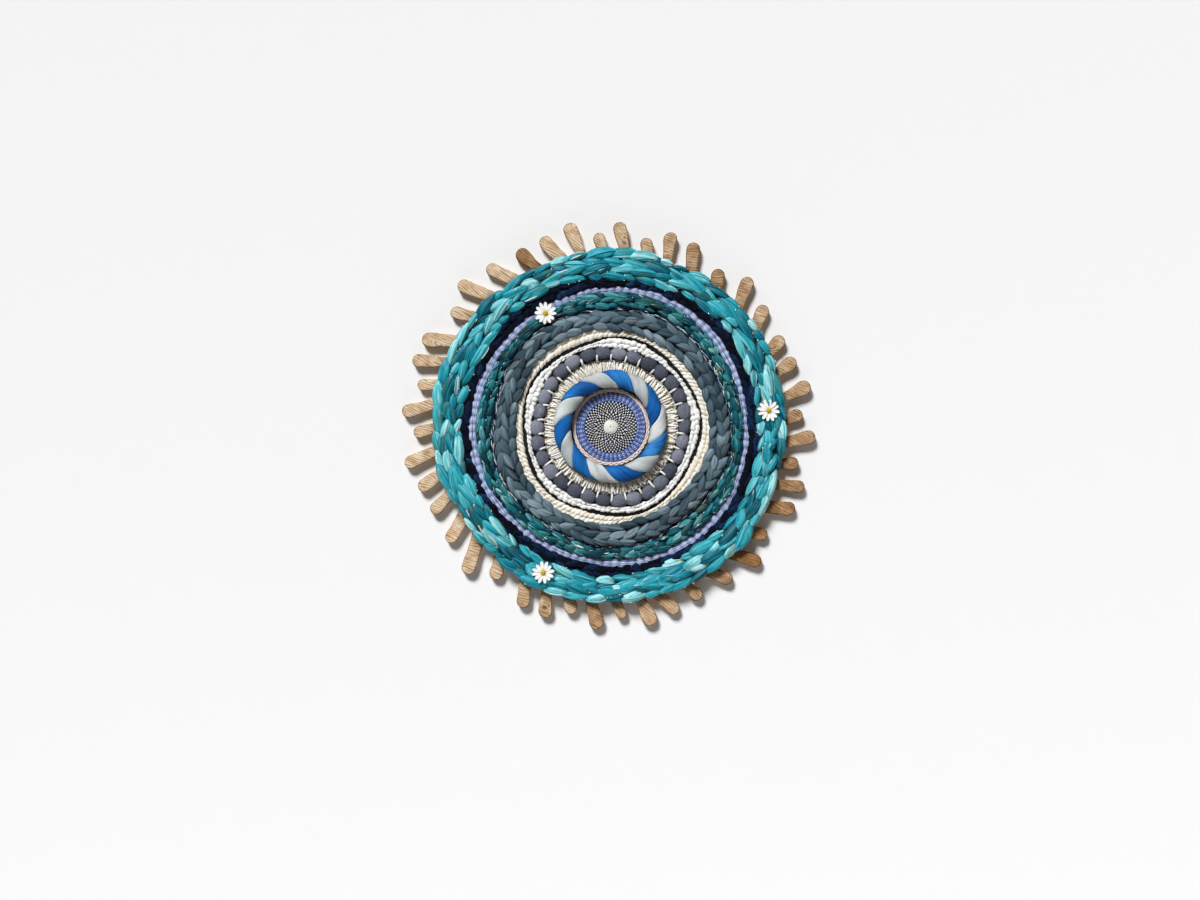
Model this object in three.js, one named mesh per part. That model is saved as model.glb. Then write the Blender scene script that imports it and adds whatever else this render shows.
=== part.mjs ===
// Circular woven wall hanging, built on the toothed wooden ring loom that it stays on.
//
// Millimetres, +Z up. The front faces -Y, the wall is on the +Y side and the
// back of the wooden ring lies in the plane y = 0. The origin is the hanging
// point: the middle of the ring's upper inner edge, on the back plane, where a
// nail takes the weight. Angles are clock angles seen from the front: 0 at the
// top, growing clockwise.

import * as THREE from 'three';
import { mergeVertices } from 'three/addons/utils/BufferGeometryUtils.js';

// ---------------------------------------------------------------- sizes ----

const RING_INNER = 140;        // radius of the open middle of the wooden ring
const RING_OUTER = 167;        // radius of the slot bottoms between the fingers
const BOARD = 8;               // thickness of the board
const ARRIS = 2.2;             // rounding along every edge of the board
const ROOT_RADIUS = 175;       // radius where the fingers come out of the yarn
const FINGER_FOOT = 7;         // how far a finger runs in under the yarn
const TIP_STEPS = 7;           // facets round a finger's tip

const GAP = 0.3;               // clearance between pieces that touch
const SHEET = 1.8;             // thickness of the fine ground weave
const SHEET_RADIUS = 170;      // the warp turns round the fingers' feet here
const SHEET_SWELL = 1.2;       // the crossing warp builds up in the middle

const CENTRE_Z = -RING_INNER;  // the disc's centre, below the hanging point
const STEPS = 48;              // angular steps of a plain round

// Each finger: angle and radius of its tip, angle of its root at ROOT_RADIUS,
// and its width near the tip and at the root.
const FINGERS = [
  { tip: 2.2, reach: 206.4, root: 4.7, head: 13.6, neck: 10.6 },
  { tip: 10.5, reach: 193.6, root: 12.3, head: 12.4, neck: 11.4 },
  { tip: 17.3, reach: 205.2, root: 18.8, head: 13.4, neck: 9.6 },
  { tip: 24.1, reach: 203.4, root: 27.6, head: 13.4, neck: 11.8 },
  { tip: 34.3, reach: 192.6, root: 37.1, head: 13.6, neck: 13.6 },
  { tip: 42.6, reach: 205.0, root: 47.0, head: 13.4, neck: 11.2 },
  { tip: 51.7, reach: 197.6, root: 55.8, head: 13.0, neck: 12.2 },
  { tip: 62.2, reach: 195.2, root: 65.1, head: 13.8, neck: 11.2 },
  { tip: 69.7, reach: 197.6, root: 72.2, head: 14.2, neck: 10.8 },
  { tip: 78.1, reach: 205.0, root: 80.4, head: 15.2, neck: 9.4 },
  { tip: 85.8, reach: 193.0, root: 87.8, head: 13.2, neck: 10.6 },
  { tip: 92.4, reach: 205.6, root: 95.2, head: 14.2, neck: 11.4 },
  { tip: 100.8, reach: 192.0, root: 102.2, head: 13.2, neck: 10.8 },
  { tip: 107.1, reach: 203.6, root: 109.4, head: 12.4, neck: 10.8 },
  { tip: 114.0, reach: 202.8, root: 117.2, head: 13.8, neck: 12.8 },
  { tip: 124.9, reach: 191.6, root: 126.8, head: 13.4, neck: 13.0 },
  { tip: 132.0, reach: 203.6, root: 136.5, head: 13.2, neck: 12.2 },
  { tip: 141.7, reach: 196.8, root: 146.1, head: 12.8, neck: 11.6 },
  { tip: 152.2, reach: 195.0, root: 154.9, head: 13.2, neck: 10.2 },
  { tip: 160.3, reach: 198.4, root: 164.2, head: 13.4, neck: 12.2 },
  { tip: 168.0, reach: 203.6, root: 170.4, head: 15.4, neck: 11.4 },
  { tip: 176.2, reach: 193.0, root: 178.4, head: 10.8, neck: 10.0 },
  { tip: 183.7, reach: 203.6, root: 186.6, head: 14.6, neck: 11.6 },
  { tip: 191.7, reach: 192.0, root: 194.1, head: 13.0, neck: 11.8 },
  { tip: 199.1, reach: 203.0, root: 201.7, head: 13.8, neck: 10.0 },
  { tip: 206.1, reach: 202.4, root: 209.2, head: 13.4, neck: 12.2 },
  { tip: 217.3, reach: 193.0, root: 219.9, head: 13.8, neck: 12.0 },
  { tip: 224.5, reach: 207.4, root: 229.9, head: 14.2, neck: 13.6 },
  { tip: 234.6, reach: 200.4, root: 238.4, head: 13.0, neck: 13.6 },
  { tip: 244.3, reach: 199.6, root: 247.4, head: 12.8, neck: 11.6 },
  { tip: 251.9, reach: 202.8, root: 255.1, head: 13.6, neck: 12.2 },
  { tip: 259.5, reach: 210.4, root: 262.8, head: 13.4, neck: 10.8 },
  { tip: 268.0, reach: 198.4, root: 270.0, head: 12.6, neck: 10.4 },
  { tip: 273.9, reach: 210.4, root: 278.0, head: 13.6, neck: 10.8 },
  { tip: 282.3, reach: 199.0, root: 284.4, head: 11.6, neck: 9.8 },
  { tip: 288.5, reach: 210.6, root: 292.0, head: 13.6, neck: 9.8 },
  { tip: 294.9, reach: 209.6, root: 299.4, head: 15.0, neck: 12.4 },
  { tip: 305.9, reach: 199.0, root: 308.8, head: 12.8, neck: 12.0 },
  { tip: 313.1, reach: 210.8, root: 317.9, head: 13.8, neck: 12.0 },
  { tip: 322.1, reach: 203.6, root: 327.2, head: 13.2, neck: 12.8 },
  { tip: 332.1, reach: 201.0, root: 335.3, head: 14.4, neck: 10.8 },
  { tip: 339.9, reach: 203.0, root: 343.6, head: 13.4, neck: 13.2 },
  { tip: 348.0, reach: 209.4, root: 350.4, head: 14.6, neck: 10.2 },
  { tip: 355.9, reach: 195.6, root: 358.0, head: 12.2, neck: 9.8 },
];

// The borders between the rounds of yarn: mean radius, height of its waves,
// how many waves go round, and the angle of the first crest.
const BORDERS = {
  rope_in: { radius: 39, wave: 0.8, waves: 3, crest: 20 },
  rope_out: { radius: 57, wave: 0.8, waves: 3, crest: 20 },
  fringe_out: { radius: 67.5, wave: 1.0, waves: 4, crest: 70 },
  bobble_out: { radius: 80.5, wave: 1.4, waves: 4, crest: 62 },
  nubby_out: { radius: 86.5, wave: 1.8, waves: 5, crest: 10 },
  black_out: { radius: 90.5, wave: 1.6, waves: 5, crest: 14 },
  cream_out: { radius: 98.5, wave: 2.2, waves: 3, crest: 95 },
  slate_out: { radius: 117, wave: 2.4, waves: 5, crest: 30 },
  tweed_out: { radius: 121.5, wave: 1.8, waves: 5, crest: 35 },
  teal_out: { radius: 133, wave: 2.4, waves: 3, crest: 15 },
  periwinkle_out: { radius: 141, wave: 2.8, waves: 3, crest: 22 },
  navy_out: { radius: 150, wave: 2.0, waves: 5, crest: 45 },
};

// Radius of the yarn's outer edge, every 15 degrees.
const EDGE = [
  { radius: 176.2 }, { radius: 175.0 }, { radius: 174.8 }, { radius: 174.6 },
  { radius: 175.4 }, { radius: 173.2 }, { radius: 174.2 }, { radius: 172.4 },
  { radius: 171.6 }, { radius: 174.6 }, { radius: 175.4 }, { radius: 173.0 },
  { radius: 172.8 }, { radius: 174.4 }, { radius: 174.8 }, { radius: 172.6 },
  { radius: 172.4 }, { radius: 176.4 }, { radius: 175.2 }, { radius: 178.0 },
  { radius: 177.6 }, { radius: 176.8 }, { radius: 174.8 }, { radius: 175.6 },
];

// Cross-sections of the rounds, from their inner to their outer border:
// the share of the width, and the share of the relief that the yarn rises.
const FLAT_ROWS = [
  { across: 0, rise: 0.75 }, { across: 0.5, rise: 1 }, { across: 1, rise: 0.75 },
];
const ONE_ROW = [
  { across: 0, rise: 0.45 }, { across: 0.25, rise: 0.96 }, { across: 0.7, rise: 1 },
  { across: 1, rise: 0.42 },
];
const TWO_ROWS = [
  { across: 0, rise: 0.45 }, { across: 0.22, rise: 1 }, { across: 0.5, rise: 0.62 },
  { across: 0.78, rise: 1 }, { across: 1, rise: 0.4 },
];
const THREE_ROWS = [
  { across: 0, rise: 0.5 }, { across: 0.16, rise: 1 }, { across: 0.33, rise: 0.66 },
  { across: 0.5, rise: 1 }, { across: 0.67, rise: 0.62 }, { across: 0.84, rise: 0.92 },
  { across: 1, rise: 0.3 },
];

// Each round: its borders, its relief and how its height swells round the disc.
const ROUNDS = [
  { name: 'white_nubby_round', inner: 'bobble_out', outer: 'nubby_out', rows: ONE_ROW, relief: 5.0, swell: 0.6, swells: 7, colour: 0xeeece6, roughness: 0.95 },
  { name: 'black_yarn_round', inner: 'nubby_out', outer: 'black_out', rows: FLAT_ROWS, relief: 2.8, swell: 0.2, swells: 5, colour: 0x17191d, roughness: 0.9 },
  { name: 'cream_soumak_round', inner: 'black_out', outer: 'cream_out', rows: ONE_ROW, relief: 5.0, swell: 0.5, swells: 5, colour: 0xe9e0cc, roughness: 0.95 },
  { name: 'slate_plait_round', inner: 'cream_out', outer: 'slate_out', rows: TWO_ROWS, relief: 11.0, swell: 0.9, swells: 4, colour: 0x57666f, roughness: 0.9 },
  { name: 'tweed_yarn_round', inner: 'slate_out', outer: 'tweed_out', rows: FLAT_ROWS, relief: 4.0, swell: 0.3, swells: 6, colour: 0x3d5570, roughness: 0.95 },
  { name: 'teal_braid_round', inner: 'tweed_out', outer: 'teal_out', rows: TWO_ROWS, relief: 9.0, swell: 0.9, swells: 5, colour: 0x1f6f75, roughness: 0.85 },
  { name: 'periwinkle_yarn_round', inner: 'teal_out', outer: 'periwinkle_out', rows: FLAT_ROWS, relief: 3.0, swell: 0.2, swells: 4, colour: 0x8c92cf, roughness: 0.85 },
  { name: 'navy_chenille_round', inner: 'periwinkle_out', outer: 'navy_out', rows: ONE_ROW, relief: 7.0, swell: 0.9, swells: 6, colour: 0x10183a, roughness: 0.8 },
];

const BOBBLES = { count: 30, steps: 4, relief: 9.0, dip: 0.34 };
const ROPE = { relief: 15.0, lobes: 14, steps: 4, sides: 9, waist: 0.2 };
const FRINGE = { strings: 46, relief: 3.2, band: 4.0, shortest: 0.62, slit: 0.45 };
const BRAID = { relief: 10.5, swell: 1.0, swells: 7 };

// The daisies: where each is sewn on, and how far it is turned.
const DAISIES = [
  { at: 84, radius: 158, turn: 8 },
  { at: 205, radius: 160, turn: 20 },
  { at: 330, radius: 131, turn: 2 },
];
const DAISY = { across: 23, petals: 12, thick: 1.2, heart: 0.3, middle: 2.6, dome: 1.8, lift: 0.4 };

// ------------------------------------------------------------- helpers -----

const RAD = Math.PI / 180;
const FRONT_OF_BOARD = BOARD;                       // distances in front of y = 0
const BACK_OF_SHEET = FRONT_OF_BOARD + GAP;
const FRONT_OF_SHEET = BACK_OF_SHEET + SHEET;
const YARN_BASE = FRONT_OF_SHEET + GAP;

const polar = (clock, radius) => new THREE.Vector2(radius * Math.sin(clock * RAD), radius * Math.cos(clock * RAD));

function borderAt(name, clock) {
  const b = BORDERS[name];
  return b.radius + b.wave * Math.cos(b.waves * (clock - b.crest) * RAD);
}

function edgeAt(clock) {
  const place = ((clock % 360) + 360) % 360 / (360 / EDGE.length);
  const i = Math.floor(place) % EDGE.length;
  const t = (1 - Math.cos(Math.PI * (place - Math.floor(place)))) / 2;
  return EDGE[i].radius * (1 - t) + EDGE[(i + 1) % EDGE.length].radius * t;
}

function signedVolume(geometry) {
  const p = geometry.attributes.position, ix = geometry.index;
  const a = new THREE.Vector3(), b = new THREE.Vector3(), c = new THREE.Vector3();
  let sum = 0;
  for (let i = 0; i < ix.count; i += 3) {
    a.fromBufferAttribute(p, ix.getX(i));
    b.fromBufferAttribute(p, ix.getX(i + 1));
    c.fromBufferAttribute(p, ix.getX(i + 2));
    sum += a.dot(b.cross(c));
  }
  return sum / 6;
}

// One closed skin with its faces pointing out.
function closed(geometry) {
  geometry.deleteAttribute('normal');
  geometry.deleteAttribute('uv');
  const joined = mergeVertices(geometry, 1e-4);
  const ix = Array.from(joined.index.array), kept = [];
  for (let i = 0; i < ix.length; i += 3) {
    const [a, b, c] = [ix[i], ix[i + 1], ix[i + 2]];
    if (a !== b && b !== c && c !== a) kept.push(a, b, c);
  }
  joined.setIndex(kept);
  if (signedVolume(joined) < 0) {
    for (let i = 0; i < kept.length; i += 3) [kept[i + 1], kept[i + 2]] = [kept[i + 2], kept[i + 1]];
    joined.setIndex(kept);
  }
  joined.computeVertexNormals();
  return joined;
}

// A body of revolution whose section changes as it goes round. The section is
// a closed list of points; place(point, clock) gives its radius and its
// distance in front of the wall at that angle.
function round(section, steps, place) {
  const turned = new THREE.LatheGeometry([...section, section[0]].map((_, i) => new THREE.Vector2(10 + i, 0)), steps);
  const p = turned.attributes.position;
  const n = section.length + 1;
  for (let i = 0; i < p.count; i++) {
    const step = Math.floor(i / n) % steps;
    const clock = (step * 360) / steps;
    const { radius, front } = place(section[(i % n) % section.length], clock);
    const v = polar(clock, radius);
    p.setXYZ(i, v.x, -front, v.y);
  }
  return closed(turned);
}

// The section of a laid round: along its back from the outer to the inner
// border, then over its rows of yarn.
const laidSection = (rows) => [{ across: 1, rise: 0 }, { across: 0, rise: 0 }, ...rows];

// The rounds laid so far, to find how high the yarn stands at any place.
const laid = [];

function laidRound(innerAt, outerAt, rows, reliefAt, steps = STEPS) {
  laid.push({ innerAt, outerAt, rows, reliefAt });
  return round(laidSection(rows), steps, (point, clock) => {
    const lo = innerAt(clock) + GAP / 2, hi = outerAt(clock) - GAP / 2;
    return { radius: lo + (hi - lo) * point.across, front: YARN_BASE + reliefAt(clock) * point.rise };
  });
}

function yarnTop(radius, clock) {
  for (const { innerAt, outerAt, rows, reliefAt } of laid) {
    const lo = innerAt(clock), hi = outerAt(clock);
    if (radius < lo || radius > hi) continue;
    const across = (radius - lo) / (hi - lo);
    const k = Math.max(1, rows.findIndex((row) => row.across >= across));
    const a = rows[k - 1], b = rows[k];
    return reliefAt(clock) * (a.rise + ((b.rise - a.rise) * (across - a.across)) / (b.across - a.across));
  }
  return 0;
}

// A flat piece cut from its outline, lying with its back at a given distance
// in front of the wall plane.
function flatPiece(shape, thickness, back, bevel = 0) {
  const g = new THREE.ExtrudeGeometry(shape, {
    depth: thickness - 2 * bevel, steps: 1, curveSegments: 4,
    bevelEnabled: bevel > 0, bevelThickness: bevel, bevelSize: bevel, bevelOffset: -bevel, bevelSegments: 2,
  });
  g.translate(0, 0, bevel);
  g.rotateX(Math.PI / 2);
  g.translate(0, -back, 0);
  return closed(g);
}

const ring = (radius, count) => Array.from({ length: count }, (_, i) => polar((-360 * i) / count, radius));

const parts = new THREE.Group();
const disc = new THREE.Group();
disc.position.set(0, 0, CENTRE_Z);
parts.add(disc);

function add(name, geometry, colour, roughness) {
  const mesh = new THREE.Mesh(geometry, new THREE.MeshStandardMaterial({ color: colour, roughness, metalness: 0 }));
  mesh.name = name;
  disc.add(mesh);
  return mesh;
}

// -------------------------------------------------------- the wooden ring --

// One finger's outline, clockwise: up its trailing side, round the tip and
// down the other side. It leans, because its tip lags behind its root.
function fingerOutline({ tip, reach, root, head, neck }) {
  const foot = polar(root, ROOT_RADIUS);
  const end = polar(tip, reach);
  const along = end.clone().sub(foot).normalize();
  const side = new THREE.Vector2(along.y, -along.x);
  const at = (s, w) => foot.clone().addScaledVector(along, s).addScaledVector(side, w);
  const length = end.distanceTo(foot);
  const headAt = length - head / 2;
  const pts = [at(-FINGER_FOOT, -neck / 2 - 0.9), at(headAt * 0.3, -neck / 2 + 0.2)];
  for (let i = 0; i <= TIP_STEPS; i++) {
    const turn = (Math.PI * i) / TIP_STEPS;
    pts.push(at(headAt + (head / 2) * Math.sin(turn), -(head / 2) * Math.cos(turn)));
  }
  pts.push(at(headAt * 0.3, neck / 2 - 0.2), at(-FINGER_FOOT, neck / 2 + 0.9));
  return pts;
}

const board = [];
FINGERS.forEach((finger, i) => {
  const next = FINGERS[(i + 1) % FINGERS.length];
  board.push(...fingerOutline(finger));
  const step = ((next.root - finger.root) % 360 + 360) % 360;
  board.push(polar(finger.root + step / 2, RING_OUTER));
});
const boardShape = new THREE.Shape(board);
boardShape.holes.push(new THREE.Path(ring(RING_INNER, 60)));
add('loom_frame', flatPiece(boardShape, BOARD, 0, ARRIS), 0xb08a5e, 0.72);

// ---------------------------------------------------------- the weaving ----

// The thin ground weave: a flat disc, a little thicker where the warp crosses.
{
  const section = [
    { radius: 0, front: BACK_OF_SHEET }, { radius: SHEET_RADIUS, front: BACK_OF_SHEET },
    { radius: SHEET_RADIUS, front: FRONT_OF_SHEET }, { radius: 39, front: FRONT_OF_SHEET },
    { radius: 20, front: FRONT_OF_SHEET + SHEET_SWELL * 0.5 }, { radius: 0, front: FRONT_OF_SHEET + SHEET_SWELL },
  ];
  add('ground_weave', round(section, STEPS, (point) => point), 0x4a5596, 0.9);
}

// The thick rope: two strands twisted round each other, so its section is
// waisted and turns as the rope goes round.
{
  const section = Array.from({ length: ROPE.sides }, (_, i) => ({ turn: (2 * Math.PI * i) / ROPE.sides }));
  const steps = ROPE.lobes * ROPE.steps;
  add('twisted_rope_round', round(section, steps, ({ turn }, clock) => {
    const lo = borderAt('rope_in', clock) + GAP / 2, hi = borderAt('rope_out', clock) - GAP / 2;
    const twist = (clock * RAD * ROPE.lobes) / 2;
    const fat = 1 - ROPE.waist * (1 - Math.cos(2 * (turn - twist))) / 2;
    return {
      radius: (lo + hi) / 2 + ((hi - lo) / 2) * fat * Math.cos(turn),
      front: Math.max(YARN_BASE, YARN_BASE + (ROPE.relief / 2) * (1 + fat * Math.sin(turn))),
    };
  }), 0x5f8fc4, 0.8);
}

// The fringe: short strings lying outwards from a narrow band, as one comb.
{
  const outline = [];
  const pitch = 360 / FRINGE.strings;
  for (let i = 0; i < FRINGE.strings; i++) {
    const clock = i * pitch;
    const reach = FRINGE.shortest + (1 - FRINGE.shortest) * (0.5 + 0.5 * Math.sin(i * 2.4));
    const lo = borderAt('rope_out', clock) + FRINGE.band;
    const hi = borderAt('fringe_out', clock) - GAP;
    const end = lo + (hi - lo) * reach;
    outline.push(
      polar(clock - pitch * (1 - FRINGE.slit) / 2, lo), polar(clock - pitch * 0.3, end - 0.8),
      polar(clock + pitch * 0.3, end), polar(clock + pitch * (1 - FRINGE.slit) / 2, lo),
    );
  }
  const shape = new THREE.Shape(outline);
  const inside = Array.from({ length: 48 }, (_, i) => {
    const clock = (-360 * i) / 48;
    return polar(clock, borderAt('rope_out', clock) + GAP / 2);
  });
  shape.holes.push(new THREE.Path(inside));
  add('string_fringe_round', flatPiece(shape, FRINGE.relief, YARN_BASE), 0xece6d6, 0.95);
}

// The bobbles: the round is drawn in by a tie between each two.
add('bobble_round', laidRound(
  (clock) => borderAt('fringe_out', clock) + 0.9 * tied(clock),
  (clock) => borderAt('bobble_out', clock) - 0.9 * tied(clock),
  FLAT_ROWS.map((row) => ({ ...row, rise: row.rise ** 2 })),
  (clock) => BOBBLES.relief * (1 - BOBBLES.dip * tied(clock)),
  BOBBLES.count * BOBBLES.steps,
), 0x5f5d6d, 0.9);

function tied(clock) {
  return 0.5 + 0.5 * Math.cos(BOBBLES.count * clock * RAD);
}

// The plain laid rounds.
for (const r of ROUNDS) {
  add(r.name, laidRound(
    (clock) => borderAt(r.inner, clock), (clock) => borderAt(r.outer, clock), r.rows,
    (clock) => r.relief + r.swell * Math.sin(r.swells * clock * RAD),
  ), r.colour, r.roughness);
}

// The outer braid. Past the edge of the ground weave it comes down on to the
// fingers' feet.
{
  const reliefAt = (clock) => BRAID.relief + BRAID.swell * Math.sin(BRAID.swells * clock * RAD);
  laid.push({ innerAt: (clock) => borderAt('navy_out', clock), outerAt: edgeAt, rows: THREE_ROWS, reliefAt });
  const back = [
    { across: 1, front: FRONT_OF_BOARD + GAP }, { radius: SHEET_RADIUS + GAP, front: FRONT_OF_BOARD + GAP },
    { radius: SHEET_RADIUS + GAP, front: YARN_BASE }, { across: 0, front: YARN_BASE },
  ];
  add('turquoise_braid_round', round([...back, ...THREE_ROWS], STEPS, (point, clock) => {
    const lo = borderAt('navy_out', clock) + GAP / 2, hi = edgeAt(clock);
    return {
      radius: point.radius ?? lo + (hi - lo) * point.across,
      front: point.front ?? YARN_BASE + reliefAt(clock) * point.rise,
    };
  }), 0x22a6ba, 0.85);
}

// ----------------------------------------------------------- the daisies ---

// The highest yarn under a daisy, which its petals rest on.
function crestUnder(at, radius) {
  const middle = polar(at, radius);
  let crest = 0;
  for (let turn = 0; turn < 360; turn += 15) {
    for (let out = 0; out <= DAISY.across / 2; out += 1) {
      const spot = middle.clone().add(polar(turn, out));
      crest = Math.max(crest, yarnTop(spot.length(), Math.atan2(spot.x, spot.y) / RAD));
    }
  }
  return crest;
}

DAISIES.forEach(({ at, radius, turn }, i) => {
  const petals = [];
  for (let k = 0; k < DAISY.petals; k++) {
    const mid = turn + (360 * k) / DAISY.petals;
    const long = (DAISY.across / 2) * (k % 3 === 1 ? 0.94 : 1);
    const heart = (DAISY.across / 2) * DAISY.heart;
    petals.push(polar(mid - 15, heart), polar(mid - 9, long * 0.75), polar(mid, long), polar(mid + 9, long * 0.75));
  }
  const back = YARN_BASE + crestUnder(at, radius) + DAISY.lift;
  const place = polar(at, radius);
  const flower = add(`daisy_${i + 1}`, flatPiece(new THREE.Shape(petals), DAISY.thick, back), 0xf6f6f2, 0.7);
  flower.position.set(place.x, 0, place.y);

  const domeBack = back + DAISY.thick + GAP;
  const profile = [
    new THREE.Vector2(0, 0), new THREE.Vector2(DAISY.middle, 0), new THREE.Vector2(DAISY.middle * 0.96, DAISY.dome * 0.5),
    new THREE.Vector2(DAISY.middle * 0.62, DAISY.dome * 0.9), new THREE.Vector2(0, DAISY.dome),
  ];
  const dome = closed(new THREE.LatheGeometry(profile, 12));
  dome.rotateX(Math.PI);
  const middle = add(`daisy_${i + 1}_middle`, dome, 0xd9b92e, 0.8);
  middle.position.set(place.x, -domeBack, place.y);
});

export default parts;
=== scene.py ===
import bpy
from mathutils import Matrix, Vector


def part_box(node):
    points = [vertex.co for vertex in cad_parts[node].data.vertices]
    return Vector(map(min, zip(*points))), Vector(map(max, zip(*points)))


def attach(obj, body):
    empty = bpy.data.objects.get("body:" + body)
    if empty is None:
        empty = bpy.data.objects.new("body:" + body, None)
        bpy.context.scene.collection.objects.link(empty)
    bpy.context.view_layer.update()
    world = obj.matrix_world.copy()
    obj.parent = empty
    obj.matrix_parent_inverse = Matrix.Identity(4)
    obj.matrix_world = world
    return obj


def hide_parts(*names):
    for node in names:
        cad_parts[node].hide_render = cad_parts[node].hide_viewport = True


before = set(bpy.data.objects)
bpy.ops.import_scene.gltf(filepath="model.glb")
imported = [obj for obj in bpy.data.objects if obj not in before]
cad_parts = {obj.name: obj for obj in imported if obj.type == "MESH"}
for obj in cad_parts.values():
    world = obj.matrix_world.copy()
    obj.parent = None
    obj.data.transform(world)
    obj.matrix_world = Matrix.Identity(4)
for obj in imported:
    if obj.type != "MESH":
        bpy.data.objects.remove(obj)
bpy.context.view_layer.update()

import math

import bpy
import numpy as np
from mathutils import Vector

MM = 0.001
TAU = 2 * math.pi
rng = np.random.default_rng(41)

# ------------------------------------------------------- sizes, as in CAD --

RING_INNER, RING_OUTER = 140.0, 167.0
BOARD = 8.0
ROOT_RADIUS = 175.0
BACK_OF_SHEET = 8.3
FRONT_OF_SHEET = 10.1
BASE = 10.4
CZ = -RING_INNER

# tip angle, tip radius, root angle, width near the tip, width at the root
FINGERS = (
    (2.2, 206.4, 4.7, 13.6, 10.6), (10.5, 193.6, 12.3, 12.4, 11.4), (17.3, 205.2, 18.8, 13.4, 9.6),
    (24.1, 203.4, 27.6, 13.4, 11.8), (34.3, 192.6, 37.1, 13.6, 13.6), (42.6, 205.0, 47.0, 13.4, 11.2),
    (51.7, 197.6, 55.8, 13.0, 12.2), (62.2, 195.2, 65.1, 13.8, 11.2), (69.7, 197.6, 72.2, 14.2, 10.8),
    (78.1, 205.0, 80.4, 15.2, 9.4), (85.8, 193.0, 87.8, 13.2, 10.6), (92.4, 205.6, 95.2, 14.2, 11.4),
    (100.8, 192.0, 102.2, 13.2, 10.8), (107.1, 203.6, 109.4, 12.4, 10.8), (114.0, 202.8, 117.2, 13.8, 12.8),
    (124.9, 191.6, 126.8, 13.4, 13.0), (132.0, 203.6, 136.5, 13.2, 12.2), (141.7, 196.8, 146.1, 12.8, 11.6),
    (152.2, 195.0, 154.9, 13.2, 10.2), (160.3, 198.4, 164.2, 13.4, 12.2), (168.0, 203.6, 170.4, 15.4, 11.4),
    (176.2, 193.0, 178.4, 10.8, 10.0), (183.7, 203.6, 186.6, 14.6, 11.6), (191.7, 192.0, 194.1, 13.0, 11.8),
    (199.1, 203.0, 201.7, 13.8, 10.0), (206.1, 202.4, 209.2, 13.4, 12.2), (217.3, 193.0, 219.9, 13.8, 12.0),
    (224.5, 207.4, 229.9, 14.2, 13.6), (234.6, 200.4, 238.4, 13.0, 13.6), (244.3, 199.6, 247.4, 12.8, 11.6),
    (251.9, 202.8, 255.1, 13.6, 12.2), (259.5, 210.4, 262.8, 13.4, 10.8), (268.0, 198.4, 270.0, 12.6, 10.4),
    (273.9, 210.4, 278.0, 13.6, 10.8), (282.3, 199.0, 284.4, 11.6, 9.8), (288.5, 210.6, 292.0, 13.6, 9.8),
    (294.9, 209.6, 299.4, 15.0, 12.4), (305.9, 199.0, 308.8, 12.8, 12.0), (313.1, 210.8, 317.9, 13.8, 12.0),
    (322.1, 203.6, 327.2, 13.2, 12.8), (332.1, 201.0, 335.3, 14.4, 10.8), (339.9, 203.0, 343.6, 13.4, 13.2),
    (348.0, 209.4, 350.4, 14.6, 10.2), (355.9, 195.6, 358.0, 12.2, 9.8),
)

# mean radius, height of the waves, how many, angle of the first crest
BORDERS = {
    "rope_in": (39, 0.8, 3, 20), "rope_out": (57, 0.8, 3, 20), "fringe_out": (67.5, 1.0, 4, 70),
    "bobble_out": (80.5, 1.4, 4, 62), "nubby_out": (86.5, 1.8, 5, 10), "black_out": (90.5, 1.6, 5, 14),
    "cream_out": (98.5, 2.2, 3, 95), "slate_out": (117, 2.4, 5, 30), "tweed_out": (121.5, 1.8, 5, 35),
    "teal_out": (133, 2.4, 3, 15), "periwinkle_out": (141, 2.8, 3, 22), "navy_out": (150, 2.0, 5, 45),
}
EDGE = np.array([
    176.2, 175.0, 174.8, 174.6, 175.4, 173.2, 174.2, 172.4, 171.6, 174.6, 175.4, 173.0,
    172.8, 174.4, 174.8, 172.6, 172.4, 176.4, 175.2, 178.0, 177.6, 176.8, 174.8, 175.6,
])


def border(name):
    radius, wave, waves, crest = BORDERS[name]
    return lambda t: radius + wave * np.cos(waves * (t - math.radians(crest)))


def edge(t):
    place = (np.degrees(t) % 360) / 15
    i = np.floor(place).astype(int) % 24
    k = (1 - np.cos(np.pi * (place - np.floor(place)))) / 2
    return EDGE[i] * (1 - k) + EDGE[(i + 1) % 24] * k


def between(inner, outer, share):
    return lambda t: inner(t) * (1 - share) + outer(t) * share


def spot(t, r, h):
    """A place from its clock angle, its radius and its distance in front of the wall, in mm."""
    t, r, h = np.broadcast_arrays(t, r, h)
    return np.stack([r * np.sin(t), -h, CZ + r * np.cos(t)], -1)


# ------------------------------------------------------------- mesh tools --


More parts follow.
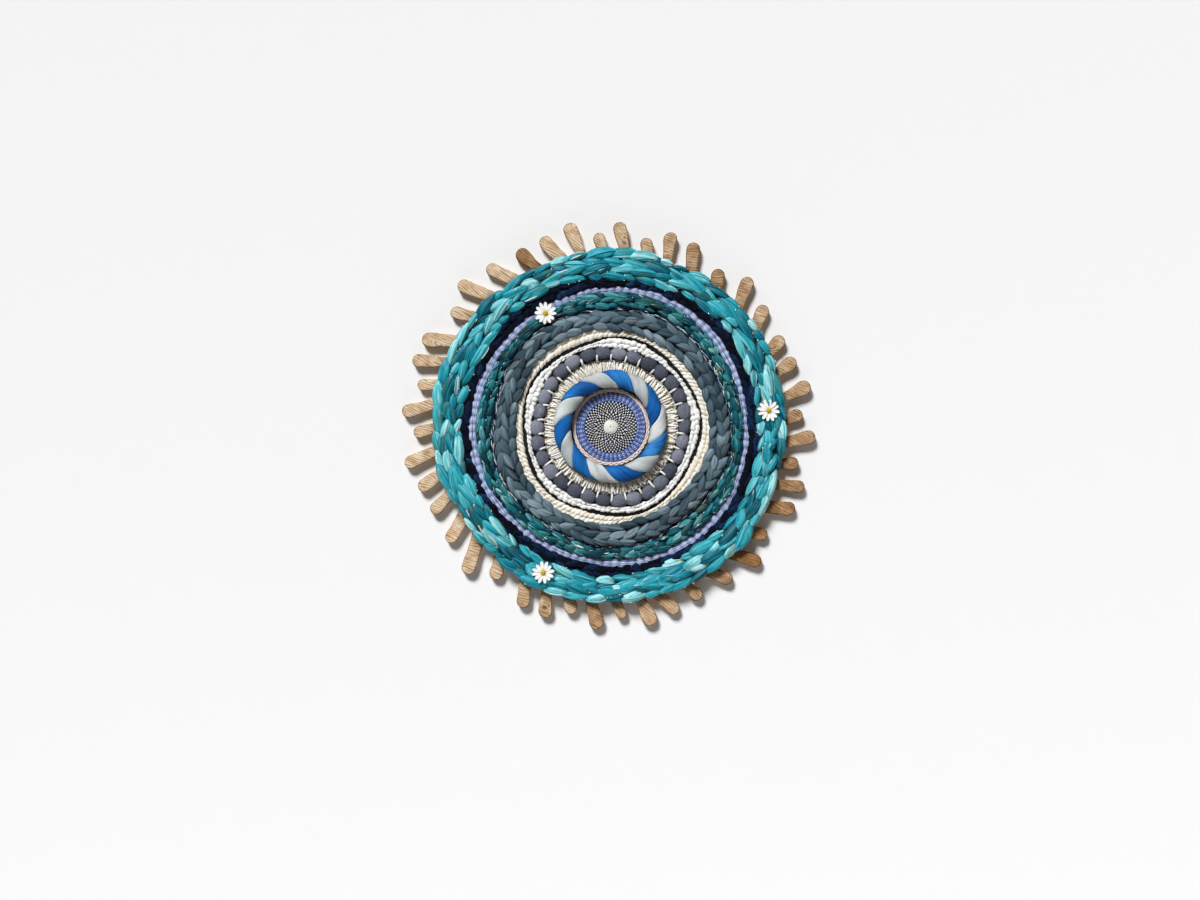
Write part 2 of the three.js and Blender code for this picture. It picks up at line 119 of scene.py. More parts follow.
class Pile:
    """Collects closed strands and lumps, with what their surface needs to know, into one mesh."""

    def __init__(self):
        self.co, self.quads, self.tris, self.count = [], [], [], 0
        self.fib, self.tint, self.painted_shade = [], [], []

    def add(self, co, quads, tris, fib, tint, painted_shade):
        self.co.append(co)
        self.quads.append(quads + self.count)
        self.tris.append(tris + self.count)
        self.fib.append(fib)
        self.tint.append(tint)
        self.painted_shade.append(painted_shade)
        self.count += len(co)

    def build(self, name, material, replaces=(), slot=None, smooth=True):
        co = np.concatenate(self.co).astype(np.float32) * MM
        quads = np.concatenate(self.quads).reshape(-1, 4)
        tris = np.concatenate(self.tris).reshape(-1, 3)
        mesh = bpy.data.meshes.new(name)
        mesh.vertices.add(len(co))
        mesh.vertices.foreach_set("co", co.ravel())
        loops = np.concatenate([quads.ravel(), tris.ravel()]).astype(np.int32)
        mesh.loops.add(len(loops))
        mesh.loops.foreach_set("vertex_index", loops)
        starts = np.concatenate([np.arange(len(quads)) * 4, len(quads) * 4 + np.arange(len(tris)) * 3]).astype(np.int32)
        mesh.polygons.add(len(starts))
        mesh.polygons.foreach_set("loop_start", starts)
        mesh.update(calc_edges=True)
        mesh.validate()
        for key, data, kind in (("fib", self.fib, "FLOAT_VECTOR"), ("tint", self.tint, "FLOAT"), ("painted_shade", self.painted_shade, "FLOAT")):
            layer = mesh.attributes.new(key, kind, "POINT")
            layer.data.foreach_set("vector" if kind == "FLOAT_VECTOR" else "value", np.concatenate(data).astype(np.float32).ravel())
        if smooth:
            mesh.polygons.foreach_set("use_smooth", np.ones(len(mesh.polygons), bool))
        obj = bpy.data.objects.new(name, mesh)
        bpy.context.scene.collection.objects.link(obj)
        for m in material if isinstance(material, (list, tuple)) else [material]:
            mesh.materials.append(m)
        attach(obj, "root")
        if replaces:
            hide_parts(*([replaces] if isinstance(replaces, str) else replaces))
        return obj


def unit(v):
    return v / np.maximum(np.linalg.norm(v, axis=-1, keepdims=True), 1e-9)


def lumpy(p, seed=0):
    """Smooth random numbers in space, from -1 to 1."""
    i = np.floor(p).astype(np.int64)
    f = p - i
    f = f * f * (3 - 2 * f)
    total = 0.0
    for dx in (0, 1):
        for dy in (0, 1):
            for dz in (0, 1):
                h = (i[..., 0] + dx) * 374761393 + (i[..., 1] + dy) * 668265263 + (i[..., 2] + dz) * 2147483647 + seed * 1013904223
                h = (h ^ (h >> 13)) * 1274126177
                h = ((h ^ (h >> 16)) & 0xFFFF) / 65535.0
                w = (f[..., 0] if dx else 1 - f[..., 0]) * (f[..., 1] if dy else 1 - f[..., 1]) * (f[..., 2] if dz else 1 - f[..., 2])
                total = total + w * h
    return total * 2 - 1


def axes(path, up, closed=False):
    """The direction along each path, the one towards up, and the one across."""
    along = unit(np.roll(path, -1, 1) - np.roll(path, 1, 1) if closed else np.gradient(path, axis=1))
    up = np.broadcast_to(np.asarray(up, float), path.shape)
    nrm = unit(up - (up * along).sum(-1, keepdims=True) * along)
    return along, nrm, np.cross(along, nrm)


def sweep(pile, path, wide, thick, sides, up=(0, -1, 0), closed=False, tint=None, painted_shade=None, twist=0.0, ridges=None, power=1.0, seed=0, rough=None, underside_shade=0.0):
    """Strands of changing oval section along paths of N x M points, in mm.

    wide and thick are the half sizes across the path and towards up. ridges is (how many, how high, turns),
    the plies or folds that run along a strand. power under 1 squares the section. rough is (lumps per mm, mm)."""
    path = np.asarray(path, float)
    if path.ndim == 2:
        path = path[None]
    n, m, _ = path.shape
    wide = np.broadcast_to(wide, (n, m)).astype(float)
    thick = np.broadcast_to(thick, (n, m)).astype(float)
    along, nrm, side = axes(path, up, closed)
    phi = np.arange(sides) * TAU / sides
    step = np.linalg.norm(np.diff(path, axis=1), axis=-1)
    length = np.concatenate([np.zeros((n, 1)), np.cumsum(step, 1)], 1)
    r = np.random.default_rng(seed + 1000)
    start = r.uniform(0, 400, (n, 1))
    turn = np.broadcast_to(twist, (n, m))[..., None]
    c, s = np.cos(phi + turn), np.sin(phi + turn)
    if power != 1.0:
        c, s = np.sign(c) * np.abs(c) ** power, np.sign(s) * np.abs(s) ** power
    swell = np.ones((n, m, sides))
    if ridges is not None:
        many, high, turns = ridges
        ph = r.uniform(0, TAU, (n, 1, 1))
        swell = 1 + high * np.cos(many * phi[None, None] + ph + turns * length[..., None])
        swell = swell + 0.5 * high * np.cos((2 * many + 1) * phi[None, None] + 2.3 * ph - 0.7 * turns * length[..., None])
    out = (wide[..., None] * c)[..., None] * side[:, :, None] + (thick[..., None] * s)[..., None] * nrm[:, :, None]
    co = path[:, :, None] + swell[..., None] * out
    if rough is not None:
        co = co + unit(out) * (rough[1] * (lumpy(co * rough[0], seed) + 0.5 * lumpy(co * rough[0] * 2.3, seed + 5)))[..., None]
    girth = np.maximum(wide, thick)[..., None]
    fib = np.stack([
        np.broadcast_to((length + start)[..., None], (n, m, sides)),
        girth * np.cos(phi)[None, None] + start[..., None],
        girth * np.sin(phi)[None, None] + 0 * start[..., None],
    ], -1)
    if tint is None:
        tint = r.uniform(0, 1, (n, 1))
    tint = np.broadcast_to(np.asarray(tint, float).reshape((n, -1)) if np.ndim(tint) else tint, (n, m))
    painted_shade = np.zeros((n, m)) if painted_shade is None else np.broadcast_to(painted_shade, (n, m))
    # painted shade on the underside of each strand, as strong as the underside argument asks
    under = np.clip(underside_shade - np.broadcast_to(s, (n, m, sides)), 0, 1) * 0.6
    deep3 = np.clip(painted_shade[..., None] + under, 0, 1)
    base = np.arange(n)[:, None, None] * (m * sides + (0 if closed else 2))
    i = np.arange(m if closed else m - 1)[None, :, None]
    k = np.arange(sides)[None, None, :]
    i2, k2 = (i + 1) % m, (k + 1) % sides
    quads = np.stack(np.broadcast_arrays(base + i * sides + k, base + i2 * sides + k, base + i2 * sides + k2, base + i * sides + k2), -1).reshape(-1, 4)
    if closed:
        tris = np.zeros((0, 3), int)
        pile.add(co.reshape(-1, 3), quads, tris, fib.reshape(-1, 3), np.repeat(tint.ravel(), sides), deep3.ravel())
        return path, wide, thick, nrm, side
    ends = path[:, [0, -1]]
    flat = np.concatenate([co.reshape(n, m * sides, 3), ends], 1)
    ffib = np.concatenate([fib.reshape(n, m * sides, 3), fib[:, [0, -1], 0]], 1)
    ftint = np.concatenate([np.repeat(tint, sides, 1), tint[:, [0, -1]]], 1)
    fdeep = np.concatenate([deep3.reshape(n, -1), painted_shade[:, [0, -1]]], 1)
    b = np.arange(n)[:, None] * (m * sides + 2)
    kk = np.arange(sides)[None]
    first = np.stack(np.broadcast_arrays(b + m * sides, b + kk, b + (kk + 1) % sides), -1).reshape(-1, 3)
    last = np.stack(np.broadcast_arrays(b + m * sides + 1, b + (m - 1) * sides + (kk + 1) % sides, b + (m - 1) * sides + kk), -1).reshape(-1, 3)
    pile.add(flat.reshape(-1, 3), quads, np.concatenate([first, last]), ffib.reshape(-1, 3), ftint.ravel(), fdeep.ravel())
    return path, wide, thick, nrm, side


def smoothstep(a, b, x):
    k = np.clip((x - a) / (b - a), 0, 1)
    return k * k * (3 - 2 * k)


# --------------------------------------------------------------- materials --


def lin(code):
    out = []
    for i in (0, 2, 4):
        v = int(code[i:i + 2], 16) / 255
        out.append(v / 12.92 if v <= 0.04045 else ((v + 0.055) / 1.055) ** 2.4)
    return (*out, 1.0)


class Nodes:
    def __init__(self, name):
        self.mat = bpy.data.materials.new(name)
        self.mat.use_nodes = True
        self.tree = self.mat.node_tree
        self.tree.nodes.clear()

    def new(self, kind, **settings):
        node = self.tree.nodes.new(kind)
        for key, value in settings.items():
            if key.startswith("in_"):
                node.inputs[key[3:].replace("_", " ")].default_value = value
            else:
                setattr(node, key, value)
        return node

    def link(self, a, b):
        self.tree.links.new(a, b)

    def attr(self, name, out="Fac"):
        return self.new("ShaderNodeAttribute", attribute_name=name).outputs[out]

    def math(self, op, a, b=None, clamp=False):
        node = self.new("ShaderNodeMath", operation=op, use_clamp=clamp)
        for k, v in enumerate((a, b)):
            if v is None:
                continue
            if isinstance(v, (int, float)):
                node.inputs[k].default_value = v
            else:
                self.link(v, node.inputs[k])
        return node.outputs[0]

    def scaled(self, vector, scale, move=(0, 0, 0)):
        node = self.new("ShaderNodeMapping")
        node.inputs["Scale"].default_value = scale
        node.inputs["Location"].default_value = move
        self.link(vector, node.inputs["Vector"])
        return node.outputs[0]

    def noise(self, vector, scale=1.0, detail=2.0, rough=0.5, distortion=0.0):
        node = self.new("ShaderNodeTexNoise")
        node.inputs["Scale"].default_value = scale
        node.inputs["Detail"].default_value = detail
        node.inputs["Roughness"].default_value = rough
        node.inputs["Distortion"].default_value = distortion
        self.link(vector, node.inputs["Vector"])
        return node.outputs["Fac"]

    def ramp(self, fac, stops, mode="LINEAR"):
        node = self.new("ShaderNodeValToRGB")
        node.color_ramp.interpolation = mode
        el = node.color_ramp.elements
        while len(el) < len(stops):
            el.new(0.5)
        for e, (at, code) in zip(el, stops):
            e.position = at
            e.color = lin(code) if isinstance(code, str) else (code, code, code, 1)
        self.link(fac, node.inputs[0])
        return node.outputs[0]

    def mix(self, fac, a, b, mode="MIX"):
        node = self.new("ShaderNodeMix", data_type="RGBA", blend_type=mode, clamp_factor=True)
        for sock, v in ((node.inputs[0], fac), (node.inputs[6], a), (node.inputs[7], b)):
            if isinstance(v, (int, float)):
                sock.default_value = v
            elif isinstance(v, tuple):
                sock.default_value = v
            elif isinstance(v, str):
                sock.default_value = lin(v)
            else:
                self.link(v, sock)
        return node.outputs[2]

    def finish(self, color, bump=None, bump_strength=0.4, bump_mm=0.5, rough=0.8, sheen=0.0, sheen_rough=0.5, sheen_tint=None, specular=0.3, subsurface=0.0, sub_radius=(0.001, 0.001, 0.001), normal_from=None):
        p = self.new("ShaderNodeBsdfPrincipled")
        if isinstance(color, str):
            p.inputs["Base Color"].default_value = lin(color)
        else:
            self.link(color, p.inputs["Base Color"])
        if isinstance(rough, (int, float)):
            p.inputs["Roughness"].default_value = rough
        else:
            self.link(rough, p.inputs["Roughness"])
        p.inputs["Specular IOR Level"].default_value = specular
        p.inputs["Sheen Weight"].default_value = sheen
        p.inputs["Sheen Roughness"].default_value = sheen_rough
        if sheen_tint:
            p.inputs["Sheen Tint"].default_value = lin(sheen_tint)
        if subsurface:
            p.inputs["Subsurface Weight"].default_value = subsurface
            p.inputs["Subsurface Radius"].default_value = sub_radius
            p.inputs["Subsurface Scale"].default_value = 1.0
        if bump is not None:
            b = self.new("ShaderNodeBump")
            b.inputs["Strength"].default_value = bump_strength
            b.inputs["Distance"].default_value = bump_mm * MM
            self.link(bump, b.inputs["Height"])
            self.link(b.outputs[0], p.inputs["Normal"])
        out = self.new("ShaderNodeOutputMaterial")
        self.link(p.outputs[0], out.inputs[0])
        return self.mat


def yarn(name, colours, dark, streak=(0.05, 1.1), fine=(0.12, 4.0), streaks=0.35, depth=0.96, bump=0.5, bump_mm=0.5, rough=0.7, sheen=0.25, sheen_rough=0.4, sheen_tint=None, specular=0.25, patches=None, patch_scale=0.05, lines=0.5):
    """A fibre surface. colours: a ramp over the strand's own tint. dark: the colour of the painted shade in crevices,
    under strands and at tucked ends, at the strength depth gives.
    streak and fine: how often the fibres change along and across, per mm."""
    n = Nodes(name)
    fib = n.attr("fib", "Vector")
    tint = n.attr("tint")
    painted_shade = n.attr("painted_shade")
    broad = n.noise(n.scaled(fib, (streak[0], streak[1], streak[1])), 1.0, 3.0, 0.55)
    thin = n.noise(n.scaled(fib, (fine[0], fine[1], fine[1])), 1.0, 3.0, 0.6)
    value = n.math("ADD", tint, n.math("MULTIPLY", n.math("SUBTRACT", broad, 0.5), streaks * 2.6), clamp=True)
    colour = n.ramp(value, colours)
    if patches:
        blot = n.noise(n.scaled(fib, (patch_scale, patch_scale * 2, patch_scale * 2), (31, 7, 3)), 1.0, 2.0, 0.5)
        colour = n.mix(n.ramp(blot, ((0.55, 0.0), (0.67, patches[1]))), colour, patches[0])
    light = n.ramp(thin, ((0.30, 0.45), (0.62, 1.0)))
    colour = n.mix(lines, colour, light, "MULTIPLY")
    # painted shade: the colour goes towards dark in crevices, under strands and at tucked ends
    colour = n.mix(n.math("MULTIPLY", painted_shade, depth), colour, dark)
    height = n.math("ADD", n.math("MULTIPLY", broad, 0.7), n.math("MULTIPLY", thin, 0.5))
    return n.finish(colour, height, bump, bump_mm, rough, sheen, sheen_rough, sheen_tint, specular)


# ----------------------------------------------------------------- camera ---

DISTANCE = 1.667
cam_data = bpy.data.cameras.new("camera")
cam_data.lens = 50
cam_data.sensor_width = 36
cam = bpy.data.objects.new("camera", cam_data)
bpy.context.scene.collection.objects.link(cam)
cam.location = (-0.011, -0.015 - DISTANCE, CZ * MM - 0.023)
cam.rotation_euler = (math.radians(90), 0, 0)
bpy.context.scene.camera = cam

# ----------------------------------------------------------- wooden ring ----


def wood():
    n = Nodes("wood_fingers")
    fib = n.attr("fib", "Vector")
    tint = n.attr("tint")
    painted_shade = n.attr("painted_shade")
    # fib holds mm across the grain lines, mm along them, and a third part that is always 0
    cross = n.new("ShaderNodeSeparateXYZ")
    n.link(fib, cross.inputs[0])
    bend = n.noise(n.scaled(fib, (0.05, 0.055, 0.37)), 1.0, 2.0, 0.45)
    jag = n.noise(n.scaled(fib, (0.5, 0.30, 0.37), (5, 2, 1)), 1.0, 3.0, 0.6)
    crowd = n.noise(n.scaled(fib, (0.085, 0.010, 0.37), (3, 1, 6)), 1.0, 1.0, 0.5)
    # a knot here and there, with the lines bent round it
    cell = n.new("ShaderNodeTexVoronoi", feature="F1", voronoi_dimensions="3D", in_Scale=1.0)
    n.link(n.scaled(fib, (0.070, 0.042, 1.3), (4, 2, 9)), cell.inputs["Vector"])
    own = n.new("ShaderNodeSeparateColor")
    n.link(cell.outputs["Color"], own.inputs[0])
    some = n.ramp(own.outputs[0], ((0.66, 0.0), (0.70, 1.0)))
    knot = n.math("MULTIPLY", n.ramp(cell.outputs["Distance"], ((0.0, 1.0), (0.16, 0.72), (0.48, 0.0)), "EASE"), some)
    heart = n.math("MULTIPLY", n.ramp(cell.outputs["Distance"], ((0.06, 0.75), (0.17, 0.0))), some)
    u = n.math("ADD", cross.outputs[0], n.math("ADD", n.math("MULTIPLY", bend, 4.0), n.math("MULTIPLY", jag, 0.9)))
    u = n.math("ADD", u, n.math("ADD", n.math("MULTIPLY", crowd, 7.5), n.math("MULTIPLY", knot, 6.5)))
    phase = n.math("FRACT", n.math("MULTIPLY", u, 1 / 2.3))
    edge_ = n.math("MULTIPLY", n.math("ABSOLUTE", n.math("SUBTRACT", phase, 0.5)), 2.0)
    line = n.ramp(edge_, ((0.0, 1.0), (0.22, 0.85), (0.5, 0.22), (0.8, 0.0)))
    fade = n.noise(n.scaled(fib, (0.34, 0.10, 0.61), (3, 8, 0)), 1.0, 2.0, 0.5)
    line = n.math("MULTIPLY", line, n.ramp(fade, ((0.34, 0.12), (0.58, 1.0))))
    streak = n.noise(n.scaled(fib, (1.5, 0.10, 0.37), (1, 5, 0)), 1.0, 3.0, 0.6)
    stain = n.noise(n.scaled(fib, (0.10, 0.07, 0.53), (9, 4, 2)), 1.0, 3.0, 0.55)
    pale = n.ramp(stain, ((0.32, "d9b88c"), (0.5, "f7dab5"), (0.68, "ffedd2")))
    brown = n.ramp(stain, ((0.32, "74481a"), (0.5, "936027"), (0.68, "b47f42")))
    colour = n.mix(tint, brown, pale)
    colour = n.mix(0.6, colour, n.ramp(streak, ((0.32, 0.55), (0.6, 1.0))), "MULTIPLY")
    colour = n.mix(n.math("MULTIPLY", line, 0.72), colour, n.mix(tint, "4a270c", "80502a"))
    colour = n.mix(heart, colour, "4a2c12")
    pores = n.noise(n.scaled(fib, (2.6, 0.5, 1.0)), 1.0, 2.0, 0.6)
    colour = n.mix(n.ramp(pores, ((0.30, 0.55), (0.40, 0.0))), colour, "50331a")
    # painted shade on the fingers' rounded edges and a painted shadow at their feet
    colour = n.mix(n.math("MULTIPLY", painted_shade, 0.9), colour, "3c2714")
    height = n.math("SUBTRACT", n.math("MULTIPLY", streak, 0.35), line)
    rough = n.ramp(stain, ((0.3, 0.85), (0.7, 0.7)))
    return n.finish(colour, height, 0.8, 0.5, rough, specular=0.12)


def rounded(half_w, half_t, corner, per_corner=3, flats=3):
    """A rounded rectangle's points, anticlockwise, all round."""
    pts = []
    cw, ct = half_w - corner, half_t - corner
    for q, (sx, sy) in enumerate(((1, 1), (-1, 1), (-1, -1), (1, -1))):
        for k in range(per_corner + 1):
            a = math.pi / 2 * (q + k / per_corner)
            pts.append((sx * cw + corner * math.cos(a), sy * ct + corner * math.sin(a)))
        nxt = ((-1, 1), (-1, -1), (1, -1), (1, 1))[q]
        a = math.pi / 2 * (q + 1)
        x0, y0 = pts[-1]
        x1, y1 = nxt[0] * cw + corner * math.cos(a), nxt[1] * ct + corner * math.sin(a)
        count = flats if q in (0, 2) else 1
        for k in range(1, count + 1):
            pts.append((x0 + (x1 - x0) * k / (count + 1), y0 + (y1 - y0) * k / (count + 1)))
    return np.array(pts)


def grain_at(x, z, up):
    """Where a point of the board lies in its grain: mm across the lines, mm along them."""
    lie = math.radians(-12)
    return np.stack(np.broadcast_arrays(-x * math.sin(lie) + z * math.cos(lie) + up * 0.6, x * math.cos(lie) + z * math.sin(lie), 0.0 * x), -1)


# which way the grain lines run on the fingers, in degrees, for every 30 degrees of the clock
LINES = (-27, -6, -24, -28, -22, -38, -34, -16, -18, -20, -28, -32, -27)
# how pale the wood is there
TONES = (0.76, 0.42, 0.58, 0.40, 0.16, 0.46, 0.62, 0.58, 0.94, 0.84, 0.82, 1.0, 0.76)
# a few fingers are darker than those beside them
STAINED = {332.1: 0.75, 183.7: 0.4, 132.0: 0.24, 288.5: 0.15, 100.8: 0.1}


def wooden_ring():
    pile = Pile()
    r = np.random.default_rng(5)
    for number, (tip, reach, root, head, neck) in enumerate(FINGERS):
        a, b = math.radians(root), math.radians(tip)
        foot = np.array([ROOT_RADIUS * math.sin(a), ROOT_RADIUS * math.cos(a)])
        end = np.array([reach * math.sin(b), reach * math.cos(b)])
        u = (end - foot) / np.linalg.norm(end - foot)
        v = np.array([u[1], -u[0]])
        length = np.linalg.norm(end - foot)
        centre = length - head / 2
        steps = np.concatenate([np.linspace(-12.0, centre, 15)[:-1], centre + head / 2 * np.sin(np.linspace(0, math.pi / 2, 8))])
        rows = []
        wob = r.uniform(-1, 1, 4)
        for s in steps:
            k = np.clip(s / centre, -0.8, 1)
            if s <= centre:
                w = neck / 2 + (head / 2 - neck / 2) * float(smoothstep(0.15, 1.0, k)) + 0.8 * float(smoothstep(0.15, -0.6, k))
                w += 0.25 * math.sin(s * 0.33 + wob[0] * 3) * float(smoothstep(0.0, 0.3, k)) * (1 - float(smoothstep(0.8, 1, k)))
                t = BOARD / 2
            else:
                q = (s - centre) / (head / 2)
                w = head / 2 * math.sqrt(max(1 - q * q, 0))
                t = BOARD / 2
            corner = min(1.6, w * 0.92, t * 0.92)
            from_end = length - s
            if from_end < 1.6:
                t = BOARD / 2 - 1.6 + math.sqrt(max(1.6 ** 2 - (1.6 - from_end) ** 2, 0)) if from_end > 0 else BOARD / 2 - 1.6
                corner = min(corner, t * 0.92)
            rows.append(rounded(max(w, 0.05), t, max(corner, 0.03)))
        rows = np.array(rows)
        sides = rows.shape[1]
        m = len(steps)
        s2 = np.repeat(steps[:, None], sides, 1)
        across = rows[..., 0] + 0.35 * wob[1] * np.sin(s2 * 0.16 + wob[2] * 2)
        up = rows[..., 1]
        plane = foot[None, None] + s2[..., None] * u + across[..., None] * v
        co = np.stack([plane[..., 0], -(BOARD / 2 + up), CZ + plane[..., 1]], -1)
        # the lines lie askew to each finger
        turn_at = (math.degrees(b) % 360) / 30
        lie = math.radians(np.interp(turn_at, range(13), LINES) + 8 * r.uniform(-1, 1))
        gx, gz = plane[..., 0] - foot[0], plane[..., 1] - foot[1]
        rad = np.hypot(plane[..., 0], plane[..., 1])
        own = smoothstep(168, 181, rad)
        mine = grain_at(foot[0], foot[1], 0.0) + np.stack([-gx * math.sin(lie) + gz * math.cos(lie) + up * 0.6, gx * math.cos(lie) + gz * math.sin(lie), 0 * rad], -1)
        fib = grain_at(plane[..., 0], plane[..., 1], up) * (1 - own[..., None]) + mine * own[..., None]
        tone = np.clip(np.interp(turn_at, range(13), TONES) - STAINED.get(tip, 0.0) + 0.09 * r.uniform(-1, 1), 0, 1)
        tint = tone * own + 0.75 * (1 - own)
        inward = np.where(s2 <= centre, rows[..., 0].max(1, keepdims=True) - np.abs(rows[..., 0]), head / 2 - np.hypot(s2 - centre, rows[..., 0]))
        # painted shade on the rounded edges, stronger towards the tip, and a painted shadow of the yarn on the front of
        # each finger's foot
        rim = 1 - smoothstep(0.15, 1.25, inward)
        at_tip = smoothstep(centre - 6, centre + 2, s2)
        painted_shade = (0.40 + 0.45 * at_tip) * rim * own
        painted_shade = np.clip(painted_shade + 0.6 * smoothstep(184, 174, rad) * (up > 0), 0, 1)
        k = np.arange(sides)
        i = np.arange(m - 1)[:, None]
        quads = np.stack(np.broadcast_arrays(i * sides + k, (i + 1) * sides + k, (i + 1) * sides + (k + 1) % sides, i * sides + (k + 1) % sides), -1).reshape(-1, 4)[:, ::-1]
        ends = np.stack([co[0].mean(0), co[-1].mean(0)])
        tris = np.concatenate([
            np.stack([np.full(sides, m * sides), (k + 1) % sides, k], -1)[:, ::-1],
            np.stack([np.full(sides, m * sides + 1), (m - 1) * sides + k, (m - 1) * sides + (k + 1) % sides], -1)[:, ::-1],
        ])
        pile.add(np.concatenate([co.reshape(-1, 3), ends]), quads, tris,
                 np.concatenate([fib.reshape(-1, 3), fib[[0, -1], 0]]),
                 np.concatenate([tint.ravel(), tint[[0, -1], 0]]), np.concatenate([painted_shade.ravel(), painted_shade[[0, -1], 0]]))
    # the ring that the fingers are cut from, a hair thinner so that no two faces lie in one plane
    section = rounded((RING_OUTER - RING_INNER) / 2 + 0.0, BOARD / 2 - 0.06, 2.2, 4, 4)
    steps = 220
    t = np.arange(steps) * TAU / steps
    rad = (RING_OUTER + RING_INNER) / 2 + np.broadcast_to(section[:, 0], (steps, len(section)))
    up = np.broadcast_to(section[:, 1], (steps, len(section)))
    x, z = rad * np.sin(t)[:, None], rad * np.cos(t)[:, None]
    co = np.stack([x, -(BOARD / 2 + up), CZ + z], -1)
    fib = grain_at(x, z, up)
    sides = len(section)
    i, k = np.arange(steps)[:, None], np.arange(sides)
    quads = np.stack(np.broadcast_arrays(i * sides + k, ((i + 1) % steps) * sides + k, ((i + 1) % steps) * sides + (k + 1) % sides, i * sides + (k + 1) % sides), -1).reshape(-1, 4)
    pile.add(co.reshape(-1, 3), quads, np.zeros((0, 3), int), fib.reshape(-1, 3), np.full(steps * sides, 0.75), np.zeros(steps * sides))
    ring = pile.build("toothed_wooden_ring", wood(), "loom_frame", "wood_fingers")
    ring.data.flip_normals()


wooden_ring()

# --------------------------------------------------------- ground weave ------

BANDS = (
    # outer border, colour, rows in it, mesh steps for a row, how much of the warp shows behind, whether a row passes two warps at once
    (25.6, "141c44", 12, 2, 1.0, 0), (35.9, "5467a8", 9, 2, 0.0, 0), ("rope_in", "e6d2c8", 2, 2, 0.0, 0), ("rope_out", "2f6fb4", 3, 5, 1.0, 1),
    ("fringe_out", "e6decb", 4, 2, 0.0, 0), ("bobble_out", "5c5f6c", 2, 5, 1.0, 1), ("nubby_out", "eeebe2", 2, 2, 0.0, 0), ("black_out", "17191d", 2, 2, 0.3, 0),
    ("cream_out", "eadfc8", 3, 2, 0.0, 0), ("slate_out", "50616c", 3, 5, 1.0, 1), ("tweed_out", "31506e", 2, 2, 0.7, 0), ("teal_out", "1a6a72", 2, 5, 1.0, 1),
    ("periwinkle_out", "8e9ad4", 5, 2, 0.0, 0), ("navy_out", "0e1636", 2, 2, 0.5, 1), ("edge", "1b8ea2", 1, 3, 0.0, 1),
)
WARPS = 88


def band_edge(name, t):
    return edge(t) if name == "edge" else name + 0.0 * t if isinstance(name, float) else border(name)(t)


